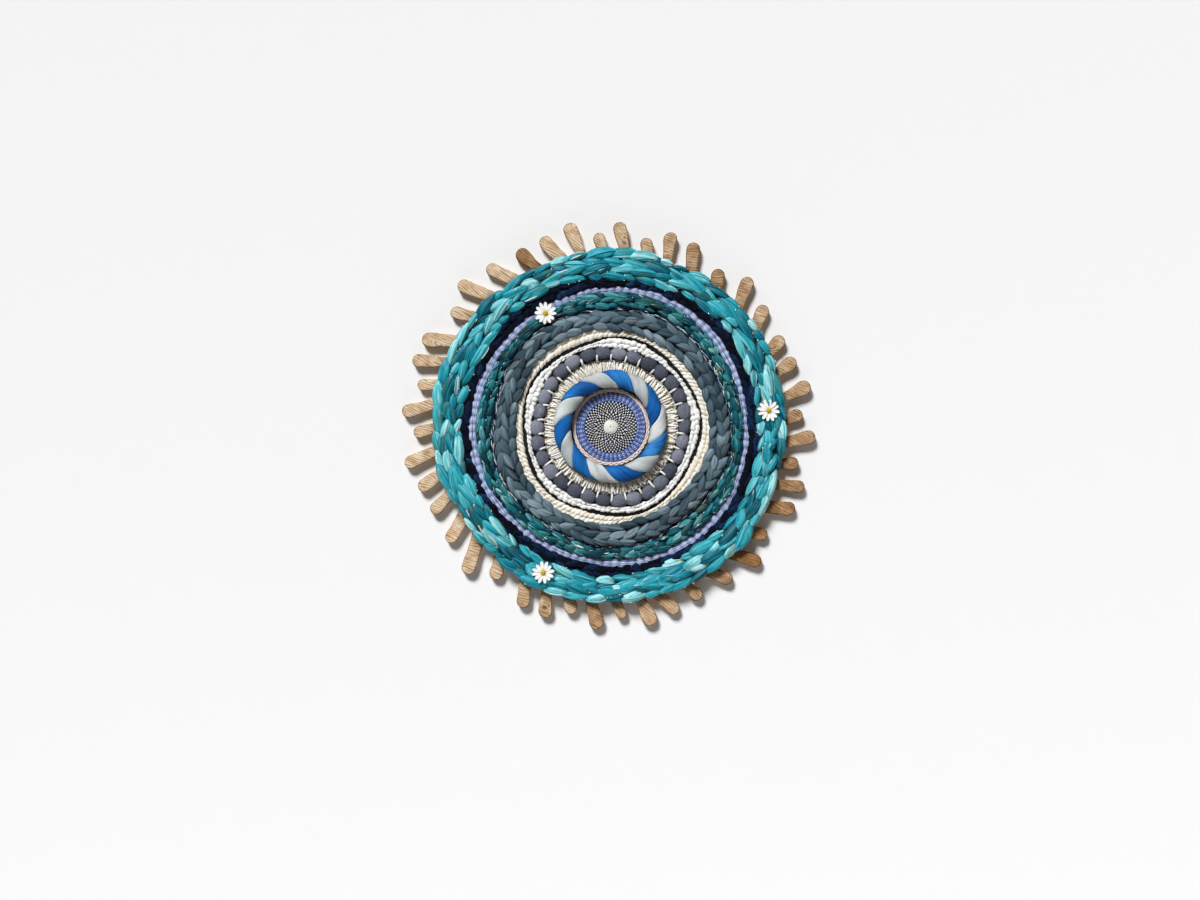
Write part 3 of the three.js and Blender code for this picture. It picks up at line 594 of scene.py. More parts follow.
def ground():
    """The warp and the backs of the rows woven on it: one thin disc, seen from behind in the ring."""
    n = Nodes("fine_weave")
    shade = n.new("ShaderNodeAttribute", attribute_name="shade")
    fib, painted_shade, row, pairs = n.attr("fib", "Vector"), n.attr("painted_shade"), n.attr("tint"), n.attr("pairs")
    place = n.new("ShaderNodeSeparateXYZ")
    n.link(fib, place.inputs[0])
    angle = n.math("ARCTAN2", place.outputs[0], n.math("SUBTRACT", place.outputs[2], CZ))
    number = n.math("FLOOR", row)
    part = n.math("FRACT", row)
    bow = n.math("SINE", n.math("MULTIPLY", part, math.pi))
    turn = n.math("MULTIPLY", number, math.pi)
    single = n.math("COSINE", n.math("ADD", n.math("MULTIPLY", angle, WARPS / 2), turn))
    double = n.math("COSINE", n.math("ADD", n.math("MULTIPLY", angle, WARPS / 4), turn))
    over = n.math("ADD", n.math("MULTIPLY", single, n.math("SUBTRACT", 1.0, pairs)), n.math("MULTIPLY", double, pairs))
    under = n.math("MULTIPLY", over, -1.0)
    bar = n.math("ADD", n.math("MULTIPLY", n.ramp(under, ((0.34, 0.0), (0.50, 1.0))), n.math("SUBTRACT", 1.0, pairs)),
                 n.math("MULTIPLY", n.ramp(under, ((0.945, 0.0), (0.97, 1.0))), pairs))
    shows = n.math("MULTIPLY", n.math("MULTIPLY", bar, n.ramp(bow, ((0.10, 0.0), (0.35, 1.0)))), shade.outputs["Alpha"])
    along = n.new("ShaderNodeCombineXYZ")
    n.link(n.math("MULTIPLY", angle, 60.0), along.inputs[0])
    n.link(n.math("MULTIPLY", row, 9.0), along.inputs[1])
    strands = n.noise(n.scaled(along.outputs[0], (0.22, 1.0, 1.0)), 1.0, 3.0, 0.6)
    fuzz = n.noise(n.scaled(fib, (0.35, 0.35, 0.35)), 1.0, 3.0, 0.55)
    ply = n.math("ABSOLUTE", n.math("SUBTRACT", n.math("FRACT", n.math("ADD", n.math("MULTIPLY", angle, 34.0), n.math("MULTIPLY", part, 0.9))), 0.5))
    colour = n.mix(0.75, shade.outputs["Color"], n.ramp(strands, ((0.28, 0.50), (0.66, 1.0))), "MULTIPLY")
    colour = n.mix(0.55, colour, n.ramp(fuzz, ((0.3, 0.65), (0.65, 1.0))), "MULTIPLY")
    # the dark twist lines between plies, the near-black grooves between rows and the crevice darkening are painted
    # shade
    colour = n.mix(0.5, colour, n.ramp(ply, ((0.30, 1.0), (0.5, 0.55))), "MULTIPLY")
    colour = n.mix(n.ramp(bow, ((0.0, 0.85), (0.5, 0.0))), colour, "080a10")
    colour = n.mix(shows, colour, n.mix(1.0, "eae5d8", n.ramp(strands, ((0.3, 0.8), (0.6, 1.0))), "MULTIPLY"))
    colour = n.mix(n.math("MULTIPLY", painted_shade, 0.8), colour, "0b0d14")
    height = n.math("ADD", n.math("ADD", n.math("MULTIPLY", strands, 0.6), n.math("MULTIPLY", shows, 0.8)), n.math("MULTIPLY", n.ramp(ply, ((0.2, 1.0), (0.5, 0.0))), 0.5))
    mat = n.finish(colour, height, 0.7, 0.5, 0.85, 0.2, 0.5, None, 0.15)

    around = 3 * WARPS
    t = np.arange(around) * TAU / around
    lines = []
    inner, start = 0.0 * t + 0.4, 0.0
    for name, code, rows, steps, dots, pair in BANDS:
        outer = band_edge(name, t) if name != "edge" else 170.0 + 0.0 * t
        for k in range(rows * steps):
            lines.append((inner + (outer - inner) * k / (rows * steps), start + k / steps, code, dots, pair))
        inner, start = outer, start + rows
    lines.append((inner, start - 0.5, code, 0.0, 1))
    r = np.array([a[0] for a in lines]).T
    row_at = np.array([a[1] for a in lines])[None] + 0 * r
    nr = len(lines)
    tt = np.repeat(t[:, None], nr, 1)
    bow_at = np.sin(np.pi * (row_at % 1))
    pair_at = np.array([a[4] for a in lines])[None]
    over_at = np.cos((WARPS / 2 - WARPS / 4 * pair_at) * tt + np.pi * np.floor(row_at))
    back = np.where(pair_at == 1, 1.75 * bow_at ** 0.6 * (0.68 + 0.32 * over_at), 0.75 * bow_at ** 0.7 * (0.62 + 0.38 * over_at))
    back = back * smoothstep(141.5, 138.0, r) * smoothstep(0.5, 3.0, r)
    behind = spot(tt, r, BACK_OF_SHEET - back)
    # the front face is coarse: yarn covers it
    fr, ft = np.meshgrid(np.array([0.4, 20, 39, 60, 90, 120, 170.0]), t)
    front = spot(ft, fr, FRONT_OF_SHEET + 0.9 * smoothstep(39, 0, fr) - 0.15)
    nf = front.shape[1]
    co = np.concatenate([behind.reshape(-1, 3), front.reshape(-1, 3), [[0, -BACK_OF_SHEET, CZ], [0, -(FRONT_OF_SHEET + 0.75), CZ]]])
    i, j = np.meshgrid(np.arange(around), np.arange(nr - 1), indexing="ij")
    i2 = (i + 1) % around
    quads_b = np.stack([i * nr + j, i * nr + j + 1, i2 * nr + j + 1, i2 * nr + j], -1).reshape(-1, 4)
    off = around * nr
    i, j = np.meshgrid(np.arange(around), np.arange(nf - 1), indexing="ij")
    i2 = (i + 1) % around
    quads_f = np.stack([i * nf + j, i2 * nf + j, i2 * nf + j + 1, i * nf + j + 1], -1).reshape(-1, 4) + off
    a = np.arange(around)
    a2 = (a + 1) % around
    rim = np.stack([a * nr + nr - 1, off + a * nf + nf - 1, off + a2 * nf + nf - 1, a2 * nr + nr - 1], -1)
    pole = off + around * nf
    tris = np.concatenate([np.stack([np.full(around, pole), a * nr, a2 * nr], -1), np.stack([np.full(around, pole + 1), off + a2 * nf, off + a * nf], -1)])
    shade_b = np.array([(*lin(l[2])[:3], l[3]) for l in lines])[None] * np.ones((around, 1, 1))
    swing = 1 + 0.16 * np.sin(3 * tt + 1.7 * np.floor(row_at)) + 0.10 * np.sin(7 * tt + 2.9 * np.floor(row_at))
    shade_b[..., :3] = np.clip(shade_b[..., :3] * swing[..., None], 0, 1)
    shade_f = np.zeros((*fr.shape, 4))
    inner = 0.0 * ft
    for name, code, rows, steps, dots, pair in BANDS:
        outer = band_edge(name, ft)
        # the front face lies under the yarn, so its band colours are painted darker, as painted shade
        dim = 0.85 if sum(lin(code)[:3]) > 1.6 else 0.45
        shade_f[(fr >= inner) & (fr < outer), :3] = np.array(lin(code)[:3]) * dim
        inner = outer
    pile = Pile()
    many = front.shape[0] * nf + 2
    # the front face also gets half strength painted shade all over
    pile.add(co, np.concatenate([quads_b, quads_f, rim]), tris, co.copy(), np.concatenate([row_at.ravel(), np.full(many, 0.5)]),
             np.concatenate([np.zeros(around * nr), np.full(many, 0.5)]))
    obj = pile.build("ground_weave_disc", mat, "ground_weave", "fine_weave")
    layer = obj.data.attributes.new("shade", "FLOAT_COLOR", "POINT")
    layer.data.foreach_set("color", np.concatenate([shade_b.reshape(-1, 4), shade_f.reshape(-1, 4), [[0.05, 0.06, 0.14, 0], [0.05, 0.06, 0.14, 0]]]).astype(np.float32).ravel())
    layer = obj.data.attributes.new("pairs", "FLOAT", "POINT")
    layer.data.foreach_set("value", np.concatenate([(pair_at * np.ones((around, 1))).ravel(), np.zeros(many)]).astype(np.float32))
    return obj


ground()


def centre_weave():
    """The fine tabby in the middle: white warp showing as dots in navy, then blue and periwinkle rows that cover it."""
    warps = 88
    per = 6
    steps = warps * per // 2
    t = np.arange(steps) * TAU / steps
    dark = yarn("tabby_navy", ((0, "070a18"), (0.5, "0d142e"), (1, "18244e")), "04060f", rough=0.8, sheen=0.2, specular=0.2)
    blue = yarn("tabby_blue", ((0, "3a4f8e"), (0.5, "5066a6"), (1, "6a80bc")), "1a2858", rough=0.75, sheen=0.2, specular=0.2)
    pale = yarn("tabby_periwinkle", ((0, "8090c8"), (0.5, "98a8d8"), (1, "bcc6ea")), "3a4880", rough=0.75, sheen=0.2, specular=0.2)
    cotton = yarn("warp_cotton", ((0, "eeebe0"), (0.5, "f7f5ee"), (1, "ffffff")), "aaa496", depth=0.6, rough=0.85, sheen=0.15, specular=0.2)
    rose = yarn("pink_fine_yarn", ((0, "f6dcd2"), (0.5, "fcebe3"), (1, "fff8f4")), "d8bcb0", depth=0.5, rough=0.85, sheen=0.2, specular=0.2)
    piles = {"dark": Pile(), "blue": Pile(), "pale": Pile(), "rose": Pile(), "cream": Pile()}
    rows = [(r, 2.05, "dark") for r in np.arange(8.6, 25.5, 2.05)]
    r = 26.4
    k = 0
    while r < 35.2:
        rows.append((r, 1.0, "blue" if k % 2 == 0 else "pale"))
        r += 1.02
        k += 1
    rows += [(35.9, 1.25, "rose"), (37.1, 1.25, "rose"), (38.3, 1.25, "rose")]
    rise = lambda rad: FRONT_OF_SHEET + 1.2 * smoothstep(39, 0, rad) + 0.25
    paired = lambda rad: rad < 16.0
    over_at = lambda rad, number, a: np.cos(warps / 4 * a - math.pi / 4 if paired(rad) else warps / 2 * a) * (-1) ** number
    for number, (rad, pitch, kind) in enumerate(rows):
        wob = 0.16 * np.sin(5 * t + number) + 0.12 * np.sin(11 * t + 2.2 * number)
        over = over_at(rad, number, t)
        tabby = pitch > 1.5 or kind == "rose"
        high = rise(rad) + (0.55 if tabby else 0.62) * over + (0.9 if kind == "rose" else 0.0)
        path = spot(t, rad + wob, high)[None]
        # where a row goes under the warp it is squeezed, and outside the middle its neighbours close over it
        wide = pitch * 0.56 * (1 - 0.16 * np.clip(-over, 0, 1)) if tabby else pitch * (0.72 + 0.30 * over)
        # where a row dips under the warp it is painted darker, as painted shade
        sweep(piles[kind], path, wide[None], np.full((1, steps), 0.62 if pitch > 1.5 else 0.55), 6, closed=True,
              tint=(0.5 + 0.5 * np.sin(3 * t + number))[None] * 0.7 + 0.15, painted_shade=(np.clip(-over, 0, 1) * 0.75)[None], seed=number)
    # the warp: it passes over where a row goes under
    reach = np.linspace(4.0, 28.0, 46)
    paths, wides = [], []
    for w in range(warps):
        a = TAU * w / warps
        mid = TAU * (2 * (w // 2) + 0.5) / warps
        phase = np.full(len(reach), -0.6)
        for number, (rad, pitch, kind) in enumerate(rows):
            near = np.exp(-((reach - rad) / (pitch * 0.42)) ** 2)
            up = -float(over_at(rad, number, mid if paired(rad) else a))
            amp = 1.0
            if kind in ("blue", "pale"):
                up, amp = 1.0, -1.1
            phase = phase * (1 - near) + near * up * amp
        near_mid = smoothstep(18.0, 15.0, reach)
        paths.append(spot(a + (mid - a) * 0.32 * near_mid, reach, rise(reach) + 0.66 * phase))
        wides.append(np.clip(0.33 * TAU * reach / 88 * (1 + 0.25 * phase) * (1 + 0.25 * near_mid), 0.30, 0.70))
    warp = Pile()
    sweep(warp, np.array(paths), np.array(wides), np.minimum(np.array(wides), 0.52), 5, seed=3)
    # a wound cream button where the warp crosses
    turns = np.linspace(0, 1, 220)
    ang = turns * TAU * 5
    sweep(warp, spot(ang, 0.6 + 6.2 * turns, rise(0) + 2.2 - 1.9 * turns ** 2)[None], 0.85, 0.75, 7, seed=9)
    warp.build("centre_warp", cotton, "ground_weave", "fine_weave")
    piles["dark"].build("centre_navy_rows", dark, "ground_weave", "fine_weave")
    piles["blue"].build("centre_blue_rows", blue, "ground_weave", "fine_weave")
    piles["pale"].build("centre_periwinkle_rows", pale, "ground_weave", "fine_weave")
    piles["rose"].build("pink_fine_rows", rose, "ground_weave", "fine_weave")


centre_weave()

# --------------------------------------------------------------- braids ------


def lobed(pile, inner, outer, rows, sides, steps, seed, tilt=1.6, dip=2.6, vary=0.2, ridge=(4, 0.04, 0.10), blunt=0.85, rough=None, tints=None, curl=0.0):
    """Rows of plump lens-shaped lobes that come out from under one another.

    rows: for each its share of the width, its lobes' width, thickness and height above the sheet, how far apart they
    start, how long they are and how far they slant, in mm. Gives back the lobes, for threads that wind round them."""
    r = np.random.default_rng(seed)
    s = np.linspace(0.0, 1.0, steps)
    body = np.sin(np.pi * np.clip(s, 0.006, 0.994) ** 1.14) ** blunt
    made = []
    for j, (share, width, thick, lift, pitch, length, slant) in enumerate(rows):
        ring = np.linspace(0, TAU, 60)
        mean = float(np.mean(inner(ring) * (1 - share) + outer(ring) * share))
        count = int(round(TAU * mean / pitch))
        own = 1 + vary * r.uniform(-1, 1, count)
        gaps = (own + np.roll(own, -1)) / 2
        at = TAU * np.cumsum(gaps) / gaps.sum() + 0.5 * (j % 2) * pitch / mean
        long = length * own
        fat = own ** 0.5 * (1 + 0.6 * vary * r.uniform(-1, 1, count))
        tall = own ** 0.4 * (1 + 0.4 * vary * r.uniform(-1, 1, count))
        lean = slant * (1 + 0.5 * r.uniform(-1, 1, count))
        bow = 0.9 * r.uniform(-1, 1, (count, 1)) + curl * np.sign(slant)
        t = at[:, None] + (s[None] - 0.5) * (long / mean)[:, None]
        lo, hi = inner(t), outer(t)
        rad = lo + (hi - lo) * share + lean[:, None] * (s[None] - 0.5) + bow * (np.sin(np.pi * s)[None] - 0.6) + 0.6 * r.uniform(-1, 1, (count, 1))
        w = width / 2 * fat[:, None] * body[None]
        c = thick / 2 * tall[:, None] * body[None]
        high = BASE + lift + (body[None] - 1) * dip + tilt * (s[None] - 0.5) + 0.5 * r.uniform(-1, 1, (count, 1))
        # painted shade at both ends of a lobe, where it dives under its neighbours
        painted_shade = np.clip(0.7 - 1.7 * body, 0, 1)[None]
        tint = r.uniform(0, 1, (count, 1)) if tints is None else tints(at, j, r)[:, None]
        made.append(sweep(pile, spot(t, rad, high), w, c, sides, tint=np.repeat(tint, steps, 1), painted_shade=np.repeat(painted_shade, count, 0), ridges=ridge, seed=seed * 7 + j, rough=rough, underside_shade=0.45) + (tint,))
    return made


def folds(pile, made, per, wide, thick, seed, sides=5, sunk=0.35, swing=0.5, span=(28, 152)):
    """The strands of roving that stand out on a lobe: they run along it from end to end, half sunk in it."""
    r = np.random.default_rng(seed)
    for path, w, c, nrm, side, tint in made:
        n, m, _ = path.shape
        k = max(1, int(round(per * n)))
        pick = np.arange(k) % n
        steps = m - 2
        u = np.linspace(0, 1, steps)
        a0 = np.radians(r.uniform(span[0], span[1], k))
        phi = a0[:, None] + np.radians(r.uniform(-22, 22, k))[:, None] * (u[None] - 0.5)
        place = (1.0 + np.arange(steps))[None] + np.zeros((k, 1))
        i = np.clip(place.astype(int), 0, m - 2)
        f = place - i
        at = lambda a: a[pick[:, None], i] * (1 - f[..., None] if a.ndim == 3 else 1 - f) + a[pick[:, None], i + 1] * (f[..., None] if a.ndim == 3 else f)
        ww, cc = at(w), at(c)
        out = unit(np.cos(phi)[..., None] * at(side) + np.sin(phi)[..., None] * at(nrm))
        size = (r.uniform(0.7, 1.25, k)[:, None] * np.sin(np.pi * np.clip(u, 0.06, 0.94))[None] ** 0.5)
        co = at(path) + (ww * np.cos(phi))[..., None] * at(side) + (cc * np.sin(phi))[..., None] * at(nrm) - (sunk * thick * size)[..., None] * out
        own = np.clip(tint[pick % len(tint)] + swing * r.uniform(-1, 1, (k, 1)), 0, 1)
        sweep(pile, co, wide * size, thick * size, sides, up=out, tint=np.repeat(own, steps, 1), seed=seed)


def bed(pile, inner, outer, shares, wide, thick, lift, seed, steps=240, sides=8):
    """Plain strands that lie under a round and close the gaps between its lobes; they are painted dark, with a low tint
    and strong painted shade, for the shade they lie in.
    """
    t = np.arange(steps) * TAU / steps
    for k, share in enumerate(shares):
        rad = inner(t) * (1 - share) + outer(t) * share
        sweep(pile, spot(t, rad, BASE + lift + 0.3 * np.sin(9 * t + 2 * k))[None], wide, thick, sides, closed=True, tint=0.25, painted_shade=0.75, seed=seed + k)


def wound(pile, made, count, size, seed, turn=(35, 145), reach=(0.15, 0.85), sides=4, steps=10, stand=0.12, slip=0.5):
    """Fine threads that lie on the lobes and cross over them."""
    r = np.random.default_rng(seed)
    for path, w, c, nrm, side, _ in made:
        n, m, _ = path.shape
        k = max(1, int(round(count / len(made))))
        pick = r.integers(0, n, k)
        u = np.linspace(0, 1, steps)
        a0 = np.radians(r.uniform(turn[0], turn[1], k))
        a1 = np.clip(a0 + np.radians(r.uniform(-80, 80, k)) * slip, np.radians(12), np.radians(168))
        s0 = r.uniform(reach[0], reach[1], k)
        s1 = np.clip(s0 + r.uniform(0.14, 0.42, k) * r.choice([-1, 1], k), 0.08, 0.92)
        phi = a0[:, None] + (a1 - a0)[:, None] * u[None]
        place = (s0[:, None] + (s1 - s0)[:, None] * u[None]) * (m - 1)
        i = np.clip(place.astype(int), 0, m - 2)
        f = place - i
        at = lambda a: a[pick[:, None], i] * (1 - f[..., None] if a.ndim == 3 else 1 - f) + a[pick[:, None], i + 1] * (f[..., None] if a.ndim == 3 else f)
        ww, cc = at(w), at(c)
        out = unit(np.cos(phi)[..., None] * at(side) + np.sin(phi)[..., None] * at(nrm))
        co = at(path) + (ww * np.cos(phi))[..., None] * at(side) + (cc * np.sin(phi))[..., None] * at(nrm) + (stand + 0.1 * np.sin(np.pi * u))[None, :, None] * out
        sweep(pile, co, size * np.sin(np.pi * np.clip(u, 0.1, 0.9))[None] ** 0.4, size * 0.8, sides, up=out, seed=seed)


def beads(pile, made, count, size, seed):
    """Small bright knots of thread that show in the crevices between lobes."""
    r = np.random.default_rng(seed)
    for path, w, c, nrm, side, _ in made:
        n, m, _ = path.shape
        k = max(1, int(round(count / len(made))))
        pick = r.integers(0, n, k)
        place = r.integers(2, m - 2, k)
        phi = np.radians(np.where(r.uniform(0, 1, k) < 0.5, r.uniform(10, 45, k), r.uniform(135, 170, k)))
        p0, s0, n0 = path[pick, place], side[pick, place], nrm[pick, place]
        at = p0 + (w[pick, place] * np.cos(phi))[:, None] * s0 + (c[pick, place] * np.sin(phi))[:, None] * n0
        out = unit(np.cos(phi)[:, None] * s0 + np.sin(phi)[:, None] * n0)
        way = unit(np.cross(out, r.normal(size=(k, 3))))
        u = np.linspace(-1, 1, 5)
        long = size * r.uniform(0.8, 2.2, k)
        co = at[:, None] + (u[None] * long[:, None])[..., None] * way[:, None] + (0.25 * out)[:, None]
        sweep(pile, co, size * np.sqrt(np.clip(1 - u ** 2, 0.05, 1))[None], size * 0.9 * np.sqrt(np.clip(1 - u ** 2, 0.05, 1))[None], 5, up=out[:, None], seed=seed)


# the outer turquoise braid
# its palest stops stand partly for the roving's own pale fibres and partly for painted sheen along its silky streaks
turq = yarn("turquoise_roving", ((0.0, "04505f"), (0.2, "09788b"), (0.46, "1b9fb1"), (0.70, "49bbc7"), (0.88, "82d3d8"), (1.0, "b4eaeb")), "00141b",
            streak=(0.022, 0.5), fine=(0.045, 3.0), streaks=0.60, bump=0.8, bump_mm=0.45, rough=0.44, sheen=0.02, sheen_rough=0.35, sheen_tint="8fe4ea", specular=0.22,
            patches=("3a6c5c", 0.55), patch_scale=0.035, lines=0.5)
p = Pile()
turq_lobes = lobed(p, border("navy_out"), edge, (
    (0.11, 10.0, 9.2, 4.4, 17.5, 32.0, -6.0), (0.36, 10.8, 9.6, 5.0, 18.5, 35.0, 7.0), (0.62, 10.8, 9.8, 4.8, 18.5, 35.0, -7.0), (0.87, 10.8, 9.8, 3.4, 18.0, 34.0, 6.0),
), 14, 13, 11, tilt=4.4, dip=2.2, vary=0.42, ridge=(3, 0.04, 0.04), blunt=0.72, curl=0.9)
folds(p, turq_lobes, 1.3, 1.7, 0.8, 16, swing=0.24, sunk=0.4)
bed(p, border("navy_out"), edge, (0.10, 0.36, 0.66), 4.4, 2.4, 2.2, 15, steps=150, sides=7)
p.build("turquoise_braid", turq, "turquoise_braid_round", "turquoise_roving")

# the dark teal and green braid
teal = yarn("teal_roving", ((0.0, "03313e"), (0.25, "074a58"), (0.5, "0e6673"), (0.74, "1f7f8a"), (0.92, "45969c"), (1.0, "76b2b6")), "00090e",
            streak=(0.035, 0.7), fine=(0.07, 3.6), streaks=0.6, bump=0.8, bump_mm=0.45, rough=0.46, sheen=0.02, sheen_rough=0.35, sheen_tint="7fd0ce", specular=0.18,
            patches=("4a6044", 0.6), patch_scale=0.045, lines=0.6)
p = Pile()
teal_lobes = lobed(p, border("tweed_out"), border("teal_out"), (
    (0.18, 6.4, 7.0, 4.0, 10.8, 20.0, -4.0), (0.50, 6.6, 7.4, 4.9, 11.2, 21.0, 4.4), (0.82, 6.4, 7.0, 4.1, 10.8, 20.0, -4.0),
), 10, 11, 23, tilt=3.0, dip=1.8, vary=0.38, ridge=(3, 0.07, 0.10), blunt=0.9, curl=0.5)
folds(p, teal_lobes, 1.2, 1.2, 0.7, 26, sides=4, swing=0.3, sunk=0.35)
bed(p, border("tweed_out"), border("teal_out"), (0.3, 0.7), 3.2, 1.8, 1.7, 27, steps=150, sides=7)
p.build("teal_braid", teal, "teal_braid_round", "teal_roving")

# the slate plait
slate = yarn("slate_roving", ((0.0, "31444f"), (0.3, "455964"), (0.6, "566b76"), (0.85, "697e89"), (1.0, "889aa4")), "05121b",
             streak=(0.022, 0.5), fine=(0.05, 3.0), streaks=0.48, bump=0.7, bump_mm=0.45, rough=0.8, sheen=0.06, sheen_rough=0.45, sheen_tint="b0c4d0", specular=0.08,
             patches=("555456", 0.6), patch_scale=0.03, lines=0.45)
p = Pile()
slate_lobes = lobed(p, border("cream_out"), border("slate_out"), (
    (0.17, 8.8, 9.6, 5.0, 12.5, 25.0, -7.0), (0.49, 9.0, 10.2, 6.0, 12.5, 25.0, 7.5), (0.82, 8.8, 9.6, 5.0, 12.5, 25.0, -7.0),
), 14, 14, 37, tilt=3.6, dip=2.3, vary=0.13, ridge=(3, 0.035, 0.05), blunt=0.85, curl=0.9)
folds(p, slate_lobes, 0.9, 1.6, 0.8, 36, swing=0.2, sunk=0.4)
bed(p, border("cream_out"), border("slate_out"), (0.25, 0.75), 4.8, 2.4, 2.3, 39, steps=150, sides=7)
p.build("slate_plait", slate, "slate_plait_round", "slate_roving")


# ------------------------------------------------------------------ rope -----


def rope():
    lobes_round = 14
    steps = 320
    t = np.arange(steps) * TAU / steps
    lo, hi = border("rope_in")(t), border("rope_out")(t)
    mid = (lo + hi) / 2
    half = (hi - lo) / 2
    blue = yarn("rope_blue", ((0.0, "074386"), (0.35, "0f5ba4"), (0.65, "1a6eb8"), (1.0, "408bcc")), "020e22", streak=(0.025, 0.42), fine=(0.04, 2.6),
                streaks=0.42, bump=0.5, bump_mm=0.35, rough=0.62, sheen=0.05, sheen_rough=0.4, sheen_tint="9cc4f0", specular=0.12, patches=("1f4f90", 0.5), patch_scale=0.05, lines=0.4)
    grey = yarn("rope_white", ((0.0, "a6adad"), (0.35, "b9c0c0"), (0.7, "cacfce"), (1.0, "e0e2e0")), "30393b", streak=(0.025, 0.6), fine=(0.04, 2.8),
                streaks=0.3, bump=0.5, bump_mm=0.35, rough=0.7, sheen=0.3, sheen_rough=0.45, specular=0.2, patches=("9ba3a3", 0.5), patch_scale=0.05, lines=0.35)
    for number, (name, mat) in enumerate((("rope_blue_strand", blue), ("rope_white_strand", grey))):
        psi = t * lobes_round / 2 + number * math.pi + 0.22 * np.sin(3 * t)
        rad = mid + half * 0.43 * np.cos(psi)
        high = BASE + 7.2 + 3.4 * np.sin(psi)
        breathe = 1 + 0.06 * np.sin(5 * t + number * 2) + 0.04 * np.sin(11 * t + number)
        # the strand's section is flattened against the other strand, so it turns with the twist
        path = spot(t, rad, high)
        radial = np.stack([np.sin(t), np.zeros_like(t), np.cos(t)], -1)
        front = np.array([0.0, -1.0, 0.0])
        outward = np.cos(psi)[:, None] * radial + np.sin(psi)[:, None] * front
        p = Pile()
        sweep(p, path[None], (half * 0.82 * breathe)[None], (half * 0.54 * breathe)[None], 24, up=outward[None], closed=True,
              tint=(0.5 + 0.28 * np.sin(4 * t + number) + 0.12 * np.sin(13 * t))[None], ridges=(4, 0.022, 0.0), seed=60 + number, rough=(0.10, 0.35))
        p.build(name, mat, "twisted_rope_round", "rope_roving")


rope()

# ---------------------------------------------------------------- fringe -----


def fringe():
    r = np.random.default_rng(71)
    mat = yarn("cream_string", ((0.0, "eae2cf"), (0.4, "f6f1e4"), (0.75, "fdfaf2"), (1.0, "ffffff")), "cdc3ab", depth=0.55, streak=(0.3, 2.0), fine=(1.4, 4.0),
               streaks=0.22, bump=0.5, bump_mm=0.25, rough=0.85, sheen=0.2, specular=0.18)
    p = Pile()
    lo, hi = border("rope_out"), border("fringe_out")
    bed(p, lo, hi, (0.10, 0.36, 0.62, 0.88), 1.6, 0.8, 0.5, 77, steps=120, sides=6)
    steps = 9
    s = np.linspace(0, 1, steps)
    for layer, (number, base_h) in enumerate(((210, 1.5), (170, 2.9))):
        at = TAU * (np.arange(number) + r.uniform(-0.5, 0.5, number)) / number
        reach = r.uniform(0.62, 1.0, number)
        drift = 0.055 * r.uniform(-1, 1, number)
        t = at[:, None] + drift[:, None] * s[None] ** 1.5
        a, b = lo(t), hi(t)
        rad = a - 1.6 + (b - a + 1.6) * (reach[:, None] * s[None]) + 0.5 * np.sin(3.0 * s[None] + 6 * reach[:, None])
        h = BASE + base_h + 1.0 * np.sin(np.pi * s)[None] * r.uniform(0.2, 1.0, (number, 1)) + 0.4 * r.uniform(-1, 1, (number, 1))
        # painted shade near each string's root, where it comes out from under its neighbours
        sweep(p, spot(t, rad, h), 0.95 * (1 - 0.10 * s)[None], 0.85, 5, ridges=(2, 0.12, 2.2), painted_shade=(0.25 * (1 - smoothstep(0, 0.35, s)))[None] * np.ones((number, 1)), seed=72 + layer)
    p.build("cream_string_fringe", mat, "string_fringe_round", "cream_string")


fringe()

# ---------------------------------------------------------------- bobbles ----


